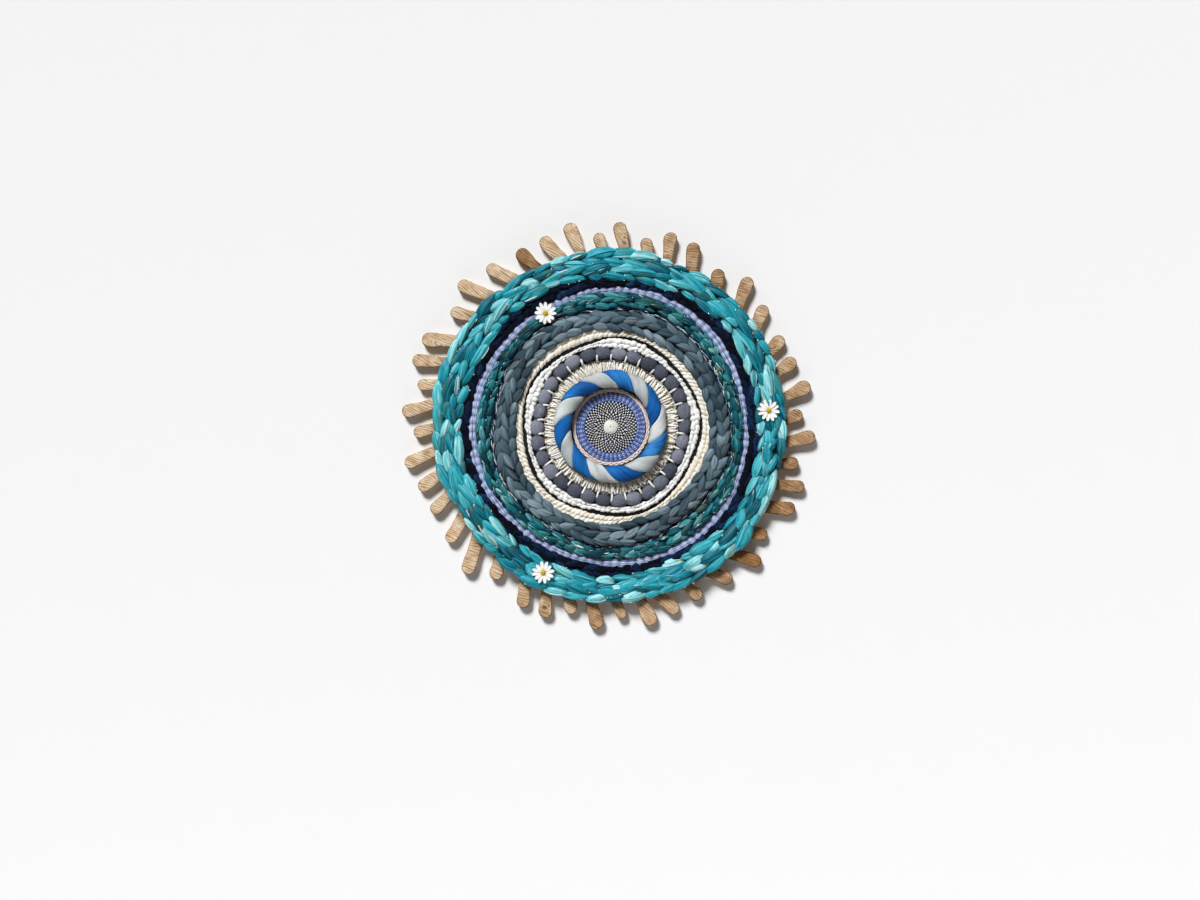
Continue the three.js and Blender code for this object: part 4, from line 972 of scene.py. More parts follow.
def bobbles():
    r = np.random.default_rng(81)
    mat = yarn("mauve_roving", ((0.0, "3e424f"), (0.4, "555966"), (0.7, "6c707d"), (1.0, "8a8e9b")), "07080e", streak=(0.05, 0.9), fine=(0.1, 3.6),
               streaks=0.42, bump=0.8, bump_mm=0.45, rough=0.78, sheen=0.10, sheen_rough=0.45, sheen_tint="b8bcd2", specular=0.10)
    tie = yarn("tie_cotton", ((0.0, "e9e6dc"), (0.5, "f5f3ec"), (1.0, "ffffff")), "98948a", streak=(0.4, 2.0), streaks=0.15, rough=0.85, sheen=0.15, specular=0.2)
    p, q = Pile(), Pile()
    lo, hi = border("fringe_out"), border("bobble_out")
    count, steps, sides = 30, 17, 18
    s = np.linspace(0, 1, steps)
    # a bobble's middle is where the round isn't tied, as in the solid
    at = TAU * (np.arange(count) + 0.5 + 0.05 * r.uniform(-1, 1, count)) / count
    mean = (lo(at) + hi(at)) / 2
    long = 18.6 * (1 + 0.06 * r.uniform(-1, 1, count))
    t = at[:, None] + (s[None] - 0.5) * (long / mean)[:, None]
    turn = 0.10 * r.uniform(-1, 1, count)
    body = np.sin(np.pi * np.clip(s, 0.004, 0.996)) ** 0.5
    a, b = lo(t), hi(t)
    rad = a + (b - a) * (0.5 + turn[:, None] * (s[None] - 0.5) * 2)
    w = (b - a) / 2 * 1.05 * (1 + 0.06 * r.uniform(-1, 1, (count, 1))) * body[None]
    c = 4.9 * (1 + 0.08 * r.uniform(-1, 1, (count, 1))) * body[None]
    h = BASE + 4.2 + 0.3 * r.uniform(-1, 1, (count, 1)) + 0 * t
    # painted shade at the bobbles' pinched ends and on their undersides
    sweep(p, spot(t, rad, h), w, c, sides, ridges=(5, 0.035, 0.12), painted_shade=np.repeat(np.clip(1.25 - 1.6 * body, 0, 1)[None], count, 0), seed=82, rough=(0.16, 0.35), underside_shade=0.35)
    bed(p, lo, hi, (0.2, 0.5, 0.8), 2.6, 1.6, 1.4, 85, steps=120, sides=6)
    p.build("mauve_bobbles", mat, "bobble_round", "mauve_roving")
    # ties: a cotton strand over each waist, from the inner edge, and the knot of the next row in the outer edge
    at = TAU * np.arange(count) / count
    s = np.linspace(0, 1, 12)
    tt = at[:, None] + 0.016 * r.uniform(-1, 1, (count, 1)) + 0.022 * (s[None] - 0.5) * r.uniform(-1, 1, (count, 1))
    a, b = lo(tt), hi(tt)
    first = r.uniform(-0.16, -0.04, (count, 1))
    last = r.uniform(0.52, 0.80, (count, 1))
    rad = a + (b - a) * (first + (last - first) * s[None])
    h = BASE + 1.0 + 6.2 * np.sin(np.pi * np.clip(0.10 + 0.86 * s, 0, 1))[None] ** 0.6 + 0 * tt
    sweep(q, spot(tt, rad, h), 1.02, 0.85, 7, ridges=(2, 0.14, 1.8), seed=83)
    tt = at[:, None] + TAU / count * 0.5 + 0.02 * r.uniform(-1, 1, (count, 1)) + 0.03 * (s[None] - 0.5)
    a, b = lo(tt), hi(tt)
    rad = a + (b - a) * (0.94 + 0.12 * s[None])
    h = BASE + 2.4 + 2.8 * np.sin(np.pi * s)[None] + 0 * tt
    sweep(q, spot(tt, rad, h), 0.95, 0.8, 6, seed=84)
    q.build("bobble_ties", tie, "bobble_round", "mauve_roving")


bobbles()

# --------------------------------------------------- small-stitched rounds ---


def stitched(pile, inner, outer, rows, length, share, wide, thick, lift, slant, seed, sides=8, steps=9, vary=0.12, knobs=0.0, tint_swing=None, blunt=0.6):
    """Rows of small slanting stitches, like beads."""
    r = np.random.default_rng(seed)
    s = np.linspace(0, 1, steps)
    body = np.sin(np.pi * np.clip(s, 0.02, 0.98)) ** blunt
    for j in range(rows):
        mean = float(np.mean(inner(np.linspace(0, 6, 50)) + (outer(np.linspace(0, 6, 50)) - inner(np.linspace(0, 6, 50))) * (j + 0.5) / rows))
        count = int(round(TAU * mean / (length * share)))
        at = TAU * (np.arange(count) + 0.5 * (j % 2) + 0.14 * r.uniform(-1, 1, count)) / count
        t = at[:, None] + (s[None] - 0.5) * (length * (1 + vary * r.uniform(-1, 1, count)) / mean)[:, None]
        lo, hi = inner(t), outer(t)
        width = (hi - lo) / rows
        place = (j + 0.5) / rows + (slant * (1 + 0.3 * r.uniform(-1, 1, (count, 1)))) * (s[None] - 0.5) / rows + knobs * r.uniform(-1, 1, (count, 1)) / rows
        w = wide * width / 2 * (1 + vary * r.uniform(-1, 1, (count, 1))) * body[None]
        c = thick / 2 * (1 + vary * r.uniform(-1, 1, (count, 1))) * body[None]
        h = BASE + lift + knobs * 1.2 * r.uniform(-1, 1, (count, 1)) + 0.5 * (s[None] - 0.5)
        # painted shade at each stitch's ends and on its underside
        sweep(pile, spot(t, lo + (hi - lo) * place, h), w, c, sides, painted_shade=np.repeat(np.clip(1.1 - 1.4 * body, 0, 1)[None] * 0.8, count, 0), ridges=(2, 0.08, 1.2), seed=seed + j, underside_shade=0.25)


cream = yarn("cream_cotton", ((0.0, "ebe2cd"), (0.35, "f3ecdc"), (0.7, "faf5ea"), (1.0, "fefcf5")), "c2b599", depth=0.6, streak=(0.2, 1.6), fine=(0.6, 4.0), streaks=0.25,
             bump=0.55, bump_mm=0.3, rough=0.85, sheen=0.2, specular=0.18)
p = Pile()
bed(p, border("black_out"), border("cream_out"), (0.1, 0.5, 0.9), 1.9, 1.5, 1.2, 107, steps=120, sides=5)
stitched(p, border("black_out"), border("cream_out"), 2, 7.8, 0.62, 1.10, 4.8, 2.9, 1.15, 101, sides=8, steps=9, blunt=0.7)
p.build("cream_soumak", cream, "cream_soumak_round", "cream_cotton")

white = yarn("white_nubby", ((0.0, "efede7"), (0.35, "f6f5f1"), (0.7, "fcfbf9"), (1.0, "ffffff")), "c4c0b4", depth=0.6, streak=(0.25, 1.0), fine=(0.8, 3.0), streaks=0.25,
             bump=0.7, bump_mm=0.5, rough=0.9, sheen=0.25, specular=0.15)
p = Pile()
stitched(p, border("bobble_out"), border("nubby_out"), 2, 7.6, 0.66, 1.45, 5.2, 2.8, 0.5, 111, sides=9, steps=9, vary=0.32, knobs=0.22, blunt=0.55)
p.build("white_nubs", white, "white_nubby_round", "white_nubby")

black = yarn("black_yarn", ((0.0, "0a0b0d"), (0.5, "15171a"), (1.0, "26292e")), "000000", streak=(0.2, 1.6), fine=(0.6, 4.0), streaks=0.3, bump=0.5, bump_mm=0.25,
             rough=0.8, sheen=0.12, specular=0.2)
p = Pile()
stitched(p, border("nubby_out"), border("black_out"), 2, 6.2, 0.66, 1.15, 2.9, 1.7, 0.8, 121, sides=6, steps=6)
p.build("black_rows", black, "black_yarn_round", "black_yarn")


# ----------------------------------------------------- periwinkle strands ----


def periwinkle():
    """Fine flat yarns side by side, that pucker a little over every warp pair."""
    mat = yarn("periwinkle_yarn", ((0.0, "8c9bca"), (0.3, "a0aed8"), (0.6, "b2bfe4"), (0.85, "c4cff0"), (1.0, "e0e8fc")), "6272a2", streak=(0.06, 2.2), fine=(0.2, 6.0), streaks=0.5,
               bump=0.5, bump_mm=0.2, rough=0.55, sheen=0.15, sheen_rough=0.35, specular=0.35)
    p = Pile()
    steps = 642
    t = np.arange(steps) * TAU / steps
    lo, hi = border("teal_out")(t), border("periwinkle_out")(t)
    many = 7
    pucker = (0.5 + 0.5 * np.cos(107 * t + 0.9 * np.sin(5 * t))) ** 0.6
    for j in range(many):
        share = (j + 0.5) / many
        wob = 0.25 * np.sin(7 * t + 1.9 * j) + 0.15 * np.sin(19 * t + 2.3 * j)
        h = BASE + 1.5 + 0.7 * math.sin(math.pi * share) + 1.25 * pucker * (0.7 + 0.3 * math.sin(math.pi * share)) + 0.16 * np.sin(9 * t + j)
        half = (hi - lo) / many / 2 * (1.22 + 0.14 * pucker)
        # the pucker crests get a paler tint, as a painted highlight, and the hollows between them painted shade
        sweep(p, spot(t, lo + (hi - lo) * share + wob, h)[None], half[None], np.full((1, steps), 0.66), 5, closed=True,
              tint=np.clip(0.34 + 0.20 * np.sin(5 * t + j * 2.1) + 0.34 * pucker, 0, 1)[None], painted_shade=(0.55 * (1 - smoothstep(0.0, 0.5, pucker)))[None], seed=140 + j)
    p.build("periwinkle_strands", mat, "periwinkle_yarn_round", "periwinkle_yarn")


periwinkle()

# ------------------------------------------------------------ tweed round ----


def tweed():
    """Short dashes of navy, steel and white over and under one another."""
    r = np.random.default_rng(151)
    mats = (
        ("tweed_navy", yarn("tweed_navy", ((0.0, "0c1c3a"), (0.5, "15305a"), (1.0, "28497a")), "04080f", streaks=0.3, rough=0.8, sheen=0.05), 220, 0.72),
        ("tweed_steel", yarn("tweed_steel", ((0.0, "4c7090"), (0.5, "688cac"), (1.0, "94b0c8")), "1c2c3a", streaks=0.3, rough=0.8, sheen=0.05), 170, 0.56),
        ("tweed_white", yarn("tweed_white", ((0.0, "dbe1e6"), (0.5, "eef1f4"), (1.0, "ffffff")), "8a94a0", streaks=0.2, rough=0.8, sheen=0.05), 170, 0.44),
    )
    lo, hi = border("slate_out"), border("tweed_out")
    steps = 7
    s = np.linspace(0, 1, steps)
    for name, mat, count, size in mats:
        at = TAU * (np.arange(count) + r.uniform(-0.5, 0.5, count)) / count
        long = r.uniform(5, 10, count)
        t = at[:, None] + (s[None] - 0.5) * (long / 121)[:, None]
        place = r.uniform(0.08, 0.92, (count, 1)) + r.uniform(-0.35, 0.35, (count, 1)) * (s[None] - 0.5)
        h = BASE + {"tweed_navy": 2.4, "tweed_steel": 2.9, "tweed_white": 3.1}[name] + 0.9 * np.sin(np.pi * s)[None] + 0.3 * r.uniform(-1, 1, (count, 1))
        a, b = lo(t), hi(t)
        p = Pile()
        if name == "tweed_navy":
            bed(p, lo, hi, (0.2, 0.5, 0.8), 1.2, 1.4, 1.3, 158, steps=150, sides=6)
        sweep(p, spot(t, a + (b - a) * place, h), size * np.sin(np.pi * np.clip(s, 0.12, 0.88))[None] ** 0.5, size * 0.9, 5, seed=152)
        p.build(name + "_curls", mat, "tweed_yarn_round", "tweed_yarn")


tweed()

# ----------------------------------------------------------- navy chenille ---


def chenille():
    n = Nodes("navy_chenille")
    fib, tint, painted_shade = n.attr("fib", "Vector"), n.attr("tint"), n.attr("painted_shade")
    pile_dir = n.noise(n.scaled(fib, (0.35, 0.9, 0.9)), 1.0, 3.0, 0.6)
    tuft = n.noise(n.scaled(fib, (2.4, 2.8, 2.8)), 1.0, 3.0, 0.65)
    value = n.math("ADD", n.math("MULTIPLY", tint, 0.45), n.math("MULTIPLY", pile_dir, 0.7), clamp=True)
    # over the yarn's own deep navy, the bright blue top of the ramp, reached where pile_dir runs high, is painted
    # sheen: the sparkle crushed velvet shows where its pile catches the light
    colour = n.ramp(value, ((0.30, "01030a"), (0.5, "04091c"), (0.66, "081736"), (0.80, "123158"), (0.95, "3c6ca4")))
    colour = n.mix(0.6, colour, n.ramp(tuft, ((0.34, 0.25), (0.66, 1.0))), "MULTIPLY")
    # painted shade in the crevices
    colour = n.mix(n.math("MULTIPLY", painted_shade, 0.85), colour, "010206")
    mat = n.finish(colour, n.math("ADD", tuft, n.math("MULTIPLY", pile_dir, 0.8)), 1.0, 0.9, 0.5, 0.02, 0.25, "4c70b8", 0.11)
    p = Pile()
    lobed(p, border("periwinkle_out"), border("navy_out"), (
        (0.22, 6.8, 6.6, 3.1, 9.0, 18.0, 4.6), (0.74, 7.0, 6.8, 3.4, 9.4, 19.0, -4.6),
    ), 12, 12, 161, blunt=0.65, vary=0.42, ridge=(3, 0.08, 0.3), tilt=2.0, dip=1.8, rough=(0.42, 0.85))
    bed(p, border("periwinkle_out"), border("navy_out"), (0.3, 0.7), 3.2, 1.8, 1.6, 167, steps=150, sides=7)
    p.build("navy_chenille_floats", mat, "navy_chenille_round", "navy_chenille")


chenille()


# --------------------------------------------------------------- threads -----


def threads():
    silver = Nodes("silver_thread")
    fib = silver.attr("fib", "Vector")
    flick = silver.noise(silver.scaled(fib, (0.8, 1, 1)), 1.0, 2.0, 0.5)
    p_ = silver.new("ShaderNodeBsdfPrincipled")
    silver.link(silver.ramp(flick, ((0.3, "b4d0cc"), (0.5, "e4eeea"), (0.7, "ffffff"))), p_.inputs["Base Color"])
    p_.inputs["Metallic"].default_value = 0.35
    p_.inputs["Roughness"].default_value = 0.28
    out = silver.new("ShaderNodeOutputMaterial")
    silver.link(p_.outputs[0], out.inputs[0])
    lime = yarn("lime_thread", ((0.0, "a8b43c"), (0.5, "c6cf5a"), (1.0, "e2e48c")), "4c5220", rough=0.4, sheen=0.2, specular=0.4)
    slub = yarn("white_slub", ((0.0, "c8d8d6"), (0.5, "dfe8e4"), (1.0, "f4f6f2")), "6c7c7a", rough=0.8, sheen=0.2)
    rust = yarn("dark_ply", ((0.0, "0b3a42"), (0.5, "0f525c"), (1.0, "3c5a54")), "02161a", rough=0.7, sheen=0.2)
    p = Pile()
    wound(p, turq_lobes, 80, 0.20, 201, steps=8)
    beads(p, turq_lobes, 310, 0.66, 211)
    wound(p, teal_lobes, 80, 0.20, 202, steps=8)
    beads(p, teal_lobes, 170, 0.56, 212)
    p.build("silver_threads", silver.mat, ("turquoise_braid_round", "teal_braid_round"), "turquoise_roving")
    p = Pile()
    wound(p, turq_lobes, 16, 0.26, 223, steps=10)
    wound(p, teal_lobes, 12, 0.28, 213, steps=10)
    p.build("lime_threads", lime, ("turquoise_braid_round", "teal_braid_round"), "turquoise_roving")
    p = Pile()
    wound(p, turq_lobes, 21, 0.75, 204, stand=0.25, slip=0.2)
    wound(p, teal_lobes, 21, 0.62, 205, stand=0.25, slip=0.2)
    p.build("white_slubs", slub, ("turquoise_braid_round", "teal_braid_round"), "turquoise_roving")
    p = Pile()
    wound(p, turq_lobes, 60, 0.24, 206, turn=(20, 160), slip=1.0)
    wound(p, teal_lobes, 110, 0.26, 207, turn=(20, 160), slip=1.0)
    wound(p, slate_lobes, 24, 0.18, 208, turn=(20, 160), slip=1.0)
    fibre = yarn("loose_fibre", ((0.0, "4fa9b4"), (0.5, "86c6cc"), (1.0, "c4e2e2")), "1c4a52", rough=0.6, sheen=0.2)
    q = Pile()
    wound(q, turq_lobes, 120, 0.12, 241, turn=(25, 155), sides=3, steps=7, slip=0.35, stand=0.2)
    wound(q, teal_lobes, 60, 0.12, 242, turn=(25, 155), sides=3, steps=7, slip=0.35, stand=0.2)
    q.build("loose_fibres", fibre, ("turquoise_braid_round", "teal_braid_round"), "turquoise_roving")
    p.build("dark_plies", rust, ("turquoise_braid_round", "teal_braid_round", "slate_plait_round"), "turquoise_roving")


threads()


# ---------------------------------------------------- warp at the fingers ----


def warp_turns():
    """The cotton warp comes out from under the yarn, goes through a slot and round behind a finger's foot."""
    r = np.random.default_rng(211)
    mat = yarn("warp_turns", ((0.0, "ece6d6"), (0.5, "f6f2e8"), (1.0, "fdfcf8")), "a8a08c", depth=0.6, streak=(0.4, 2.0), streaks=0.18, rough=0.85, sheen=0.15, specular=0.18)
    p = Pile()
    steps = 24
    s = np.linspace(0, 1, steps)
    paths = []
    for (tip, reach, root, head, neck) in FINGERS:
        a = math.radians(root)
        half = (neck / 2 + 1.9) / 172
        for shift in (0.0, 1.25):
            k = s * 2 - 1
            ang = a + (half + shift * 0.002) * np.sign(k) * np.minimum(1, np.abs(k) * 2.6) ** 0.8
            out = smoothstep(1.0, 0.55, np.abs(k))
            rad = 163.0 + (7.6 + shift) * smoothstep(1.0, 0.62, np.abs(k)) + 0.5 * r.uniform(-1, 1)
            h = 9.4 - 9.7 * smoothstep(0.66, 0.40, np.abs(k)) + 0.0 * out
            paths.append(spot(ang, rad, h))
    paths = np.array(paths)
    centre = np.array([0.0, 0.0, CZ])
    outward = unit((paths - centre) * np.array([1, 0, 1]))
    # askew to all three ways in which a turn runs
    back = np.array([0.0, 1.0, 0.0])
    askew = unit(outward + np.cross(outward, back) + back)
    sweep(p, paths, 0.72, 0.62, 5, up=askew, ridges=(2, 0.14, 2.0), seed=212)
    # at some slots a short end or a loop of the warp stands out from under the yarn
    for at in (23, 66, 122, 166, 208, 281, 304, 314, 325, 338):
        a = math.radians(at)
        for k in range(3):
            q = np.linspace(0, 1, 10)
            ang = a + 0.010 * (k - 1) + 0.010 * r.uniform(-1, 1) * q + 0.004 * np.sin(5 * q + k)
            rad = float(edge(np.array(a))) - 6.0 + (7.6 + 2.4 * r.uniform(-1, 1)) * q
            h = 8.6 + 1.6 * k * 0.6 + 1.4 * np.sin(2.2 * q + r.uniform(0, 1)) - 1.2 * q
            sweep(p, spot(ang, rad, h)[None], 0.55, 0.5, 5, ridges=(2, 0.14, 2.0), seed=230 + k)
    p.build("warp_turns_at_fingers", mat, "ground_weave", "fine_weave")


warp_turns()

# --------------------------------------------------------------- daisies -----

DAISIES = ((84, 158, 8, 1), (205, 160, 20, 2), (330, 131, 2, 3))


def daisies():
    petal = Nodes("petal_white")
    fib = petal.attr("fib", "Vector")
    painted_shade = petal.attr("painted_shade")
    rib = petal.noise(petal.scaled(fib, (0.25, 2.4, 1.0)), 1.0, 2.0, 0.5)
    col = petal.ramp(rib, ((0.25, "e6e6e2"), (0.6, "f8f8f5"), (0.9, "ffffff")))
    col = petal.mix(petal.math("MULTIPLY", painted_shade, 0.7), col, "c9c8a8")
    pmat = petal.finish(col, rib, 0.35, 0.3, 0.6, 0.15, 0.5, None, 0.3)
    mid = Nodes("flower_middle")
    fib = mid.attr("fib", "Vector")
    seeds = mid.new("ShaderNodeTexVoronoi")
    seeds.inputs["Scale"].default_value = 1.5
    mid.link(fib, seeds.inputs["Vector"])
    col = mid.ramp(seeds.outputs["Distance"], ((0.0, "f0d23c"), (0.45, "dcb628"), (0.8, "a87c14")))
    mmat = mid.finish(col, mid.ramp(seeds.outputs["Distance"], ((0.0, 1.0), (0.8, 0.0))), 0.8, 0.5, 0.75, 0.2, 0.5, None, 0.25)
    for at, radius, turn, number in DAISIES:
        lo_, hi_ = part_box(f"daisy_{number}")
        back = -hi_[1] / MM
        a = math.radians(at)
        cx, cz = radius * math.sin(a), CZ + radius * math.cos(a)
        r = np.random.default_rng(300 + number)
        p = Pile()
        petals = 12
        nl, nw = 11, 7
        for k in range(petals):
            ang = math.radians(turn + 360 * k / petals + 3 * r.uniform(-1, 1))
            long = 11.5 * (0.94 if k % 3 == 1 else 1.0) * (1 + 0.04 * r.uniform(-1, 1))
            lift = r.uniform(-0.5, 0.7)
            u = np.linspace(0, 1, nl)[:, None]
            v = np.linspace(-1, 1, nw)[None]
            half = 1.95 * np.sin(np.pi * np.clip(0.10 + 0.83 * u, 0, 1)) ** 0.62 * (0.62 + 0.5 * u)
            half = half * (1 - smoothstep(0.86, 1.0, u) * 0.55)
            d = 1.6 + (long - 1.6) * u - 0.5 * smoothstep(0.9, 1.0, u) * v ** 2
            w = half * v
            z = back + 0.55 + (0.25 if k % 2 else 0.0) + lift * u ** 1.5 + 0.42 * v ** 2 * half / 2 - 0.25 * np.exp(-(v / 0.25) ** 2) * u
            x = cx + d * math.sin(ang) + w * math.cos(ang)
            y = cz + d * math.cos(ang) - w * math.sin(ang)
            top = np.stack([x, -(z + 0.16), y], -1).reshape(-1, 3)
            bot = np.stack([x, -(z - 0.16), y], -1).reshape(-1, 3)
            co = np.concatenate([top, bot])
            i, j = np.meshgrid(np.arange(nl - 1), np.arange(nw - 1), indexing="ij")
            q = np.stack([i * nw + j, i * nw + j + 1, (i + 1) * nw + j + 1, (i + 1) * nw + j], -1).reshape(-1, 4)
            qb = q[:, ::-1] + nl * nw
            loop = [(i_, 0) for i_ in range(nl)] + [(nl - 1, j_) for j_ in range(1, nw)] + [(i_, nw - 1) for i_ in range(nl - 2, -1, -1)] + [(0, j_) for j_ in range(nw - 2, 0, -1)]
            loop = np.array([i_ * nw + j_ for i_, j_ in loop])
            nxt = np.roll(loop, -1)
            rim = np.stack([loop, nxt, nxt + nl * nw, loop + nl * nw], -1)
            fibv = np.stack([np.broadcast_to(d, (nl, nw)), np.broadcast_to(w, (nl, nw)), np.full((nl, nw), k * 7.0)], -1).reshape(-1, 3)
            # petals painted darker towards the middle, as painted shade under the domed middle
            dp = np.broadcast_to(smoothstep(0.42, 0.0, u), (nl, nw)).ravel()
            p.add(co, np.concatenate([q, qb, rim]), np.zeros((0, 3), int), np.concatenate([fibv, fibv]), np.zeros(len(co)), np.concatenate([dp, dp]))
        p.build(f"daisy_{number}_petals", pmat, f"daisy_{number}", "petal_white")
        # the domed middle, of small seeds
        p = Pile()
        rings, segs = 8, 22
        co, fibs = [], []
        base_h = back + 0.9
        for q_ in range(rings + 1):
            lat = math.pi / 2 * q_ / rings
            for s_ in range(segs):
                lon = TAU * s_ / segs
                bumpy = 1 + 0.05 * math.sin(5 * lat * 3) * math.sin(7 * lon + q_)
                rr = 2.7 * math.cos(lat) * bumpy
                hh = base_h + 2.0 * math.sin(lat) * bumpy
                if q_ == rings:
                    rr = 0.02
                co.append((cx + rr * math.sin(lon), -hh, cz + rr * math.cos(lon)))
                fibs.append((rr * math.sin(lon) + 10, rr * math.cos(lon), hh - base_h))
        co, fibs = np.array(co), np.array(fibs)
        i, k = np.meshgrid(np.arange(rings), np.arange(segs), indexing="ij")
        quads = np.stack([i * segs + k, i * segs + (k + 1) % segs, (i + 1) * segs + (k + 1) % segs, (i + 1) * segs + k], -1).reshape(-1, 4)
        top_i, bot_i = len(co), len(co) + 1
        co = np.concatenate([co, [[cx, -(base_h + 2.0), cz], [cx, -base_h, cz]]])
        fibs = np.concatenate([fibs, [[10, 0, 2], [10, 0, 0]]])
        kk = np.arange(segs)
        tris = np.concatenate([np.stack([np.full(segs, top_i), rings * segs + kk, rings * segs + (kk + 1) % segs], -1),
                               np.stack([np.full(segs, bot_i), (kk + 1) % segs, kk], -1)])
        p.add(co, quads, tris, fibs, np.zeros(len(co)), np.zeros(len(co)))
        middle = p.build(f"daisy_{number}_seeds", mmat, f"daisy_{number}_middle", "flower_middle")
        middle.data.flip_normals()


daisies()

# ----------------------------------------------------------------- stage -----


def plane(name, corners, mat):
    mesh = bpy.data.meshes.new(name)
    mesh.from_pydata(corners, [], [(0, 1, 2, 3)])
    obj = bpy.data.objects.new(name, mesh)
    bpy.context.scene.collection.objects.link(obj)
    mesh.materials.append(mat)
    return obj


def stage():
    wall = Nodes("stage_wall")
    wall_bsdf = wall.new("ShaderNodeBsdfDiffuse")
    wall_bsdf.inputs["Color"].default_value = (0.86, 0.855, 0.85, 1)
    clear = wall.new("ShaderNodeBsdfTransparent")
    path = wall.new("ShaderNodeLightPath")
    geo = wall.new("ShaderNodeNewGeometry")
    see = wall.math("MAXIMUM", geo.outputs["Backfacing"], path.outputs["Is Shadow Ray"])
    mix = wall.new("ShaderNodeMixShader")
    wall.link(see, mix.inputs[0])
    wall.link(wall_bsdf.outputs[0], mix.inputs[1])
    wall.link(clear.outputs[0], mix.inputs[2])
    out = wall.new("ShaderNodeOutputMaterial")
    wall.link(mix.outputs[0], out.inputs[0])
    y = 0.0014
    plane("backdrop", [(-2.2, y, -2.0), (2.2, y, -2.0), (2.2, y, 1.9), (-2.2, y, 1.9)], wall.mat)
    floor = Nodes("stage_floor")
    f = floor.new("ShaderNodeBsdfDiffuse")
    f.inputs["Color"].default_value = (0.85, 0.85, 0.845, 1)
    out = floor.new("ShaderNodeOutputMaterial")
    floor.link(f.outputs[0], out.inputs[0])
    plane("floor", [(-2.1, -1.4, -2.0), (2.1, -1.4, -2.0), (2.1, 1.2, -2.0), (-2.1, 1.2, -2.0)], floor.mat)


stage()


def lamp(name, at, aim, size, power, colour=(1, 1, 1)):
    data = bpy.data.lights.new(name, "AREA")
    data.shape = "DISK"
    data.size = size
    data.energy = power
    data.color = colour
    obj = bpy.data.objects.new(name, data)
    bpy.context.scene.collection.objects.link(obj)
    obj.location = at
    obj.rotation_euler = (Vector(aim) - Vector(at)).to_track_quat("-Z", "Y").to_euler()
    return obj


CENTRE = (0, 0, CZ * MM)
SUN = 4.1
sun = bpy.data.lights.new("key", "SUN")
sun.energy = SUN
sun.angle = 0.28
sun.color = (0.985, 1.0, 1.02)
sun_obj = bpy.data.objects.new("key", sun)
bpy.context.scene.collection.objects.link(sun_obj)
sun_obj.rotation_euler = Vector((0.44, 1.0, -0.95)).to_track_quat("-Z", "Y").to_euler()
lamp("side", (2.1, -0.32, 0.0), CENTRE, 1.0, 2.5, (1.0, 0.97, 0.93))
lamp("behind", (0.9, 1.9, 0.6), CENTRE, 1.6, 26)

world = bpy.data.worlds.new("world")
bpy.context.scene.world = world
world.use_nodes = True
world.node_tree.nodes.clear()
soft = world.node_tree.nodes.new("ShaderNodeBackground")
soft.inputs[0].default_value = (1.0, 0.91, 0.81, 1)
soft.inputs[1].default_value = 0.105
# what the camera sees beyond the stage is as pale as the wall
beyond = world.node_tree.nodes.new("ShaderNodeBackground")
beyond.inputs[0].default_value = (0.95, 0.95, 0.945, 1)
seen = world.node_tree.nodes.new("ShaderNodeLightPath")
both = world.node_tree.nodes.new("ShaderNodeMixShader")
sky = world.node_tree.nodes.new("ShaderNodeOutputWorld")
world.node_tree.links.new(seen.outputs["Is Camera Ray"], both.inputs[0])
world.node_tree.links.new(soft.outputs[0], both.inputs[1])
world.node_tree.links.new(beyond.outputs[0], both.inputs[2])
world.node_tree.links.new(both.outputs[0], sky.inputs[0])

bpy.context.scene.view_settings.view_transform = "Standard"
bpy.context.scene.view_settings.exposure = 0.0



# how strongly the painted crevice shade shows on a piece, where it isn't the usual 1
SOFTLY = {
    "centre_warp": 0.25, "centre_navy_rows": 0.5, "centre_blue_rows": 0.35, "centre_periwinkle_rows": 0.35, "pink_fine_rows": 0.3,
    "cream_string_fringe": 0.3, "cream_soumak": 0.28, "white_nubs": 0.22, "black_rows": 0.6, "periwinkle_strands": 0.2, "loose_fibres": 0.0, "bobble_ties": 0.2,
    "tweed_white_curls": 0.15, "tweed_steel_curls": 0.25, "tweed_navy_curls": 0.5, "silver_threads": 0.0, "lime_threads": 0.2, "white_slubs": 0.3,
    "warp_turns_at_fingers": 0.3, "ground_weave_disc": 0.6,
}


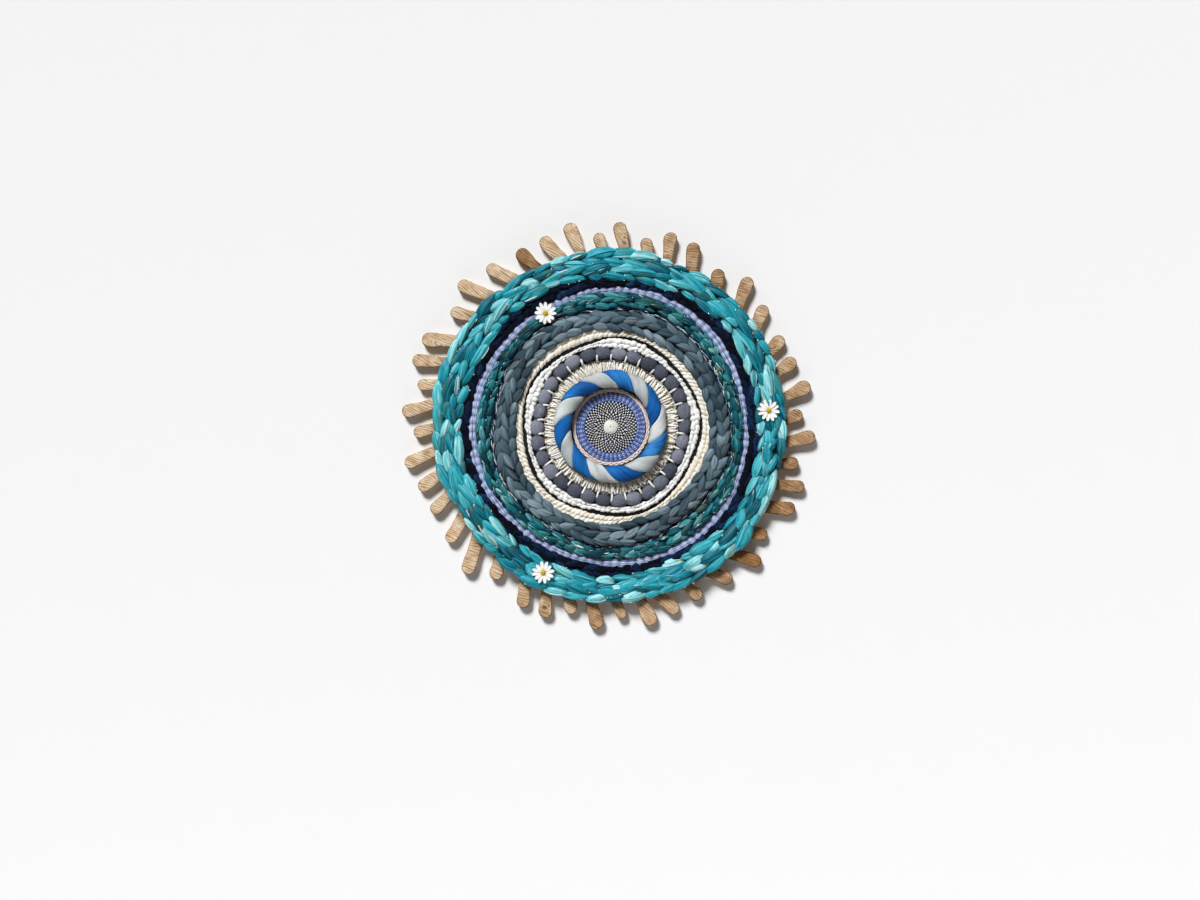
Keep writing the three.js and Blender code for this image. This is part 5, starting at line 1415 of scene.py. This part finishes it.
def crevices():
    """Works out how far each point lies below the yarn round it and paints it darker there: painted shade for the light
    that doesn't reach the crevices.
    """
    cell, half = 1.0, 216.0
    size = int(2 * half / cell)
    top = np.full((size, size), 0.0)
    pieces = [o for o in bpy.context.scene.objects if o.type == "MESH" and "painted_shade" in o.data.attributes and o.name != "toothed_wooden_ring" and "daisy" not in o.name]
    data = {}
    for o in pieces:
        mesh = o.data
        co = np.empty(len(mesh.vertices) * 3, np.float32)
        mesh.vertices.foreach_get("co", co)
        co = co.reshape(-1, 3) / MM
        data[o.name] = co
        mid = co
        if len(mesh.polygons) and len(mesh.polygons[0].vertices) == 4:
            loops = np.empty(len(mesh.loops), np.int32)
            mesh.loops.foreach_get("vertex_index", loops)
            four = loops[: len(loops) // 4 * 4].reshape(-1, 4)
            a, b, c, d = co[four[:, 0]], co[four[:, 1]], co[four[:, 2]], co[four[:, 3]]
            mid = np.concatenate([co, (a + c) / 2, (a + b) / 2, (b + c) / 2])
        ix = np.clip(((mid[:, 0] + half) / cell).astype(int), 0, size - 1)
        iz = np.clip(((mid[:, 2] - CZ + half) / cell).astype(int), 0, size - 1)
        np.maximum.at(top, (ix, iz), -mid[:, 1])
    spread = top.copy()
    for dx in (-1, 0, 1):
        for dz in (-1, 0, 1):
            spread = np.maximum(spread, np.roll(np.roll(top, dx, 0), dz, 1) - 0.4)
    def blur(a, sigma):
        k = np.arange(-int(3 * sigma) - 1, int(3 * sigma) + 2)
        g = np.exp(-0.5 * (k / sigma) ** 2)
        g /= g.sum()
        for axis in (0, 1):
            a = sum(w * np.roll(a, int(q), axis) for q, w in zip(k, g))
        return a
    near, broad = blur(spread, 1.5 / cell), blur(spread, 3.4 / cell)
    def read(field, co):
        x = np.clip((co[:, 0] + half) / cell - 0.5, 0, size - 2)
        z = np.clip((co[:, 2] - CZ + half) / cell - 0.5, 0, size - 2)
        i, j = x.astype(int), z.astype(int)
        fx, fz = x - i, z - j
        return (field[i, j] * (1 - fx) + field[i + 1, j] * fx) * (1 - fz) + (field[i, j + 1] * (1 - fx) + field[i + 1, j + 1] * fx) * fz
    for o in pieces:
        co = data[o.name]
        # a point sunk below its neighbours gets painted shade, close in and more broadly
        sunk = smoothstep(0.7, 3.0, read(near, co) + co[:, 1])
        low = 0.45 * smoothstep(0.6, 4.0, read(broad, co) + co[:, 1])
        sunk = (1 - (1 - sunk) * (1 - low)) * SOFTLY.get(o.name, 1.0)
        if o.name == "ground_weave_disc":
            sunk = sunk * (co[:, 1] < -9.2)
        layer = o.data.attributes["painted_shade"]
        old = np.empty(len(co), np.float32)
        layer.data.foreach_get("value", old)
        layer.data.foreach_set("value", np.clip(1 - (1 - old) * (1 - sunk), 0, 1).astype(np.float32))


crevices()
bpy.context.view_layer.update()
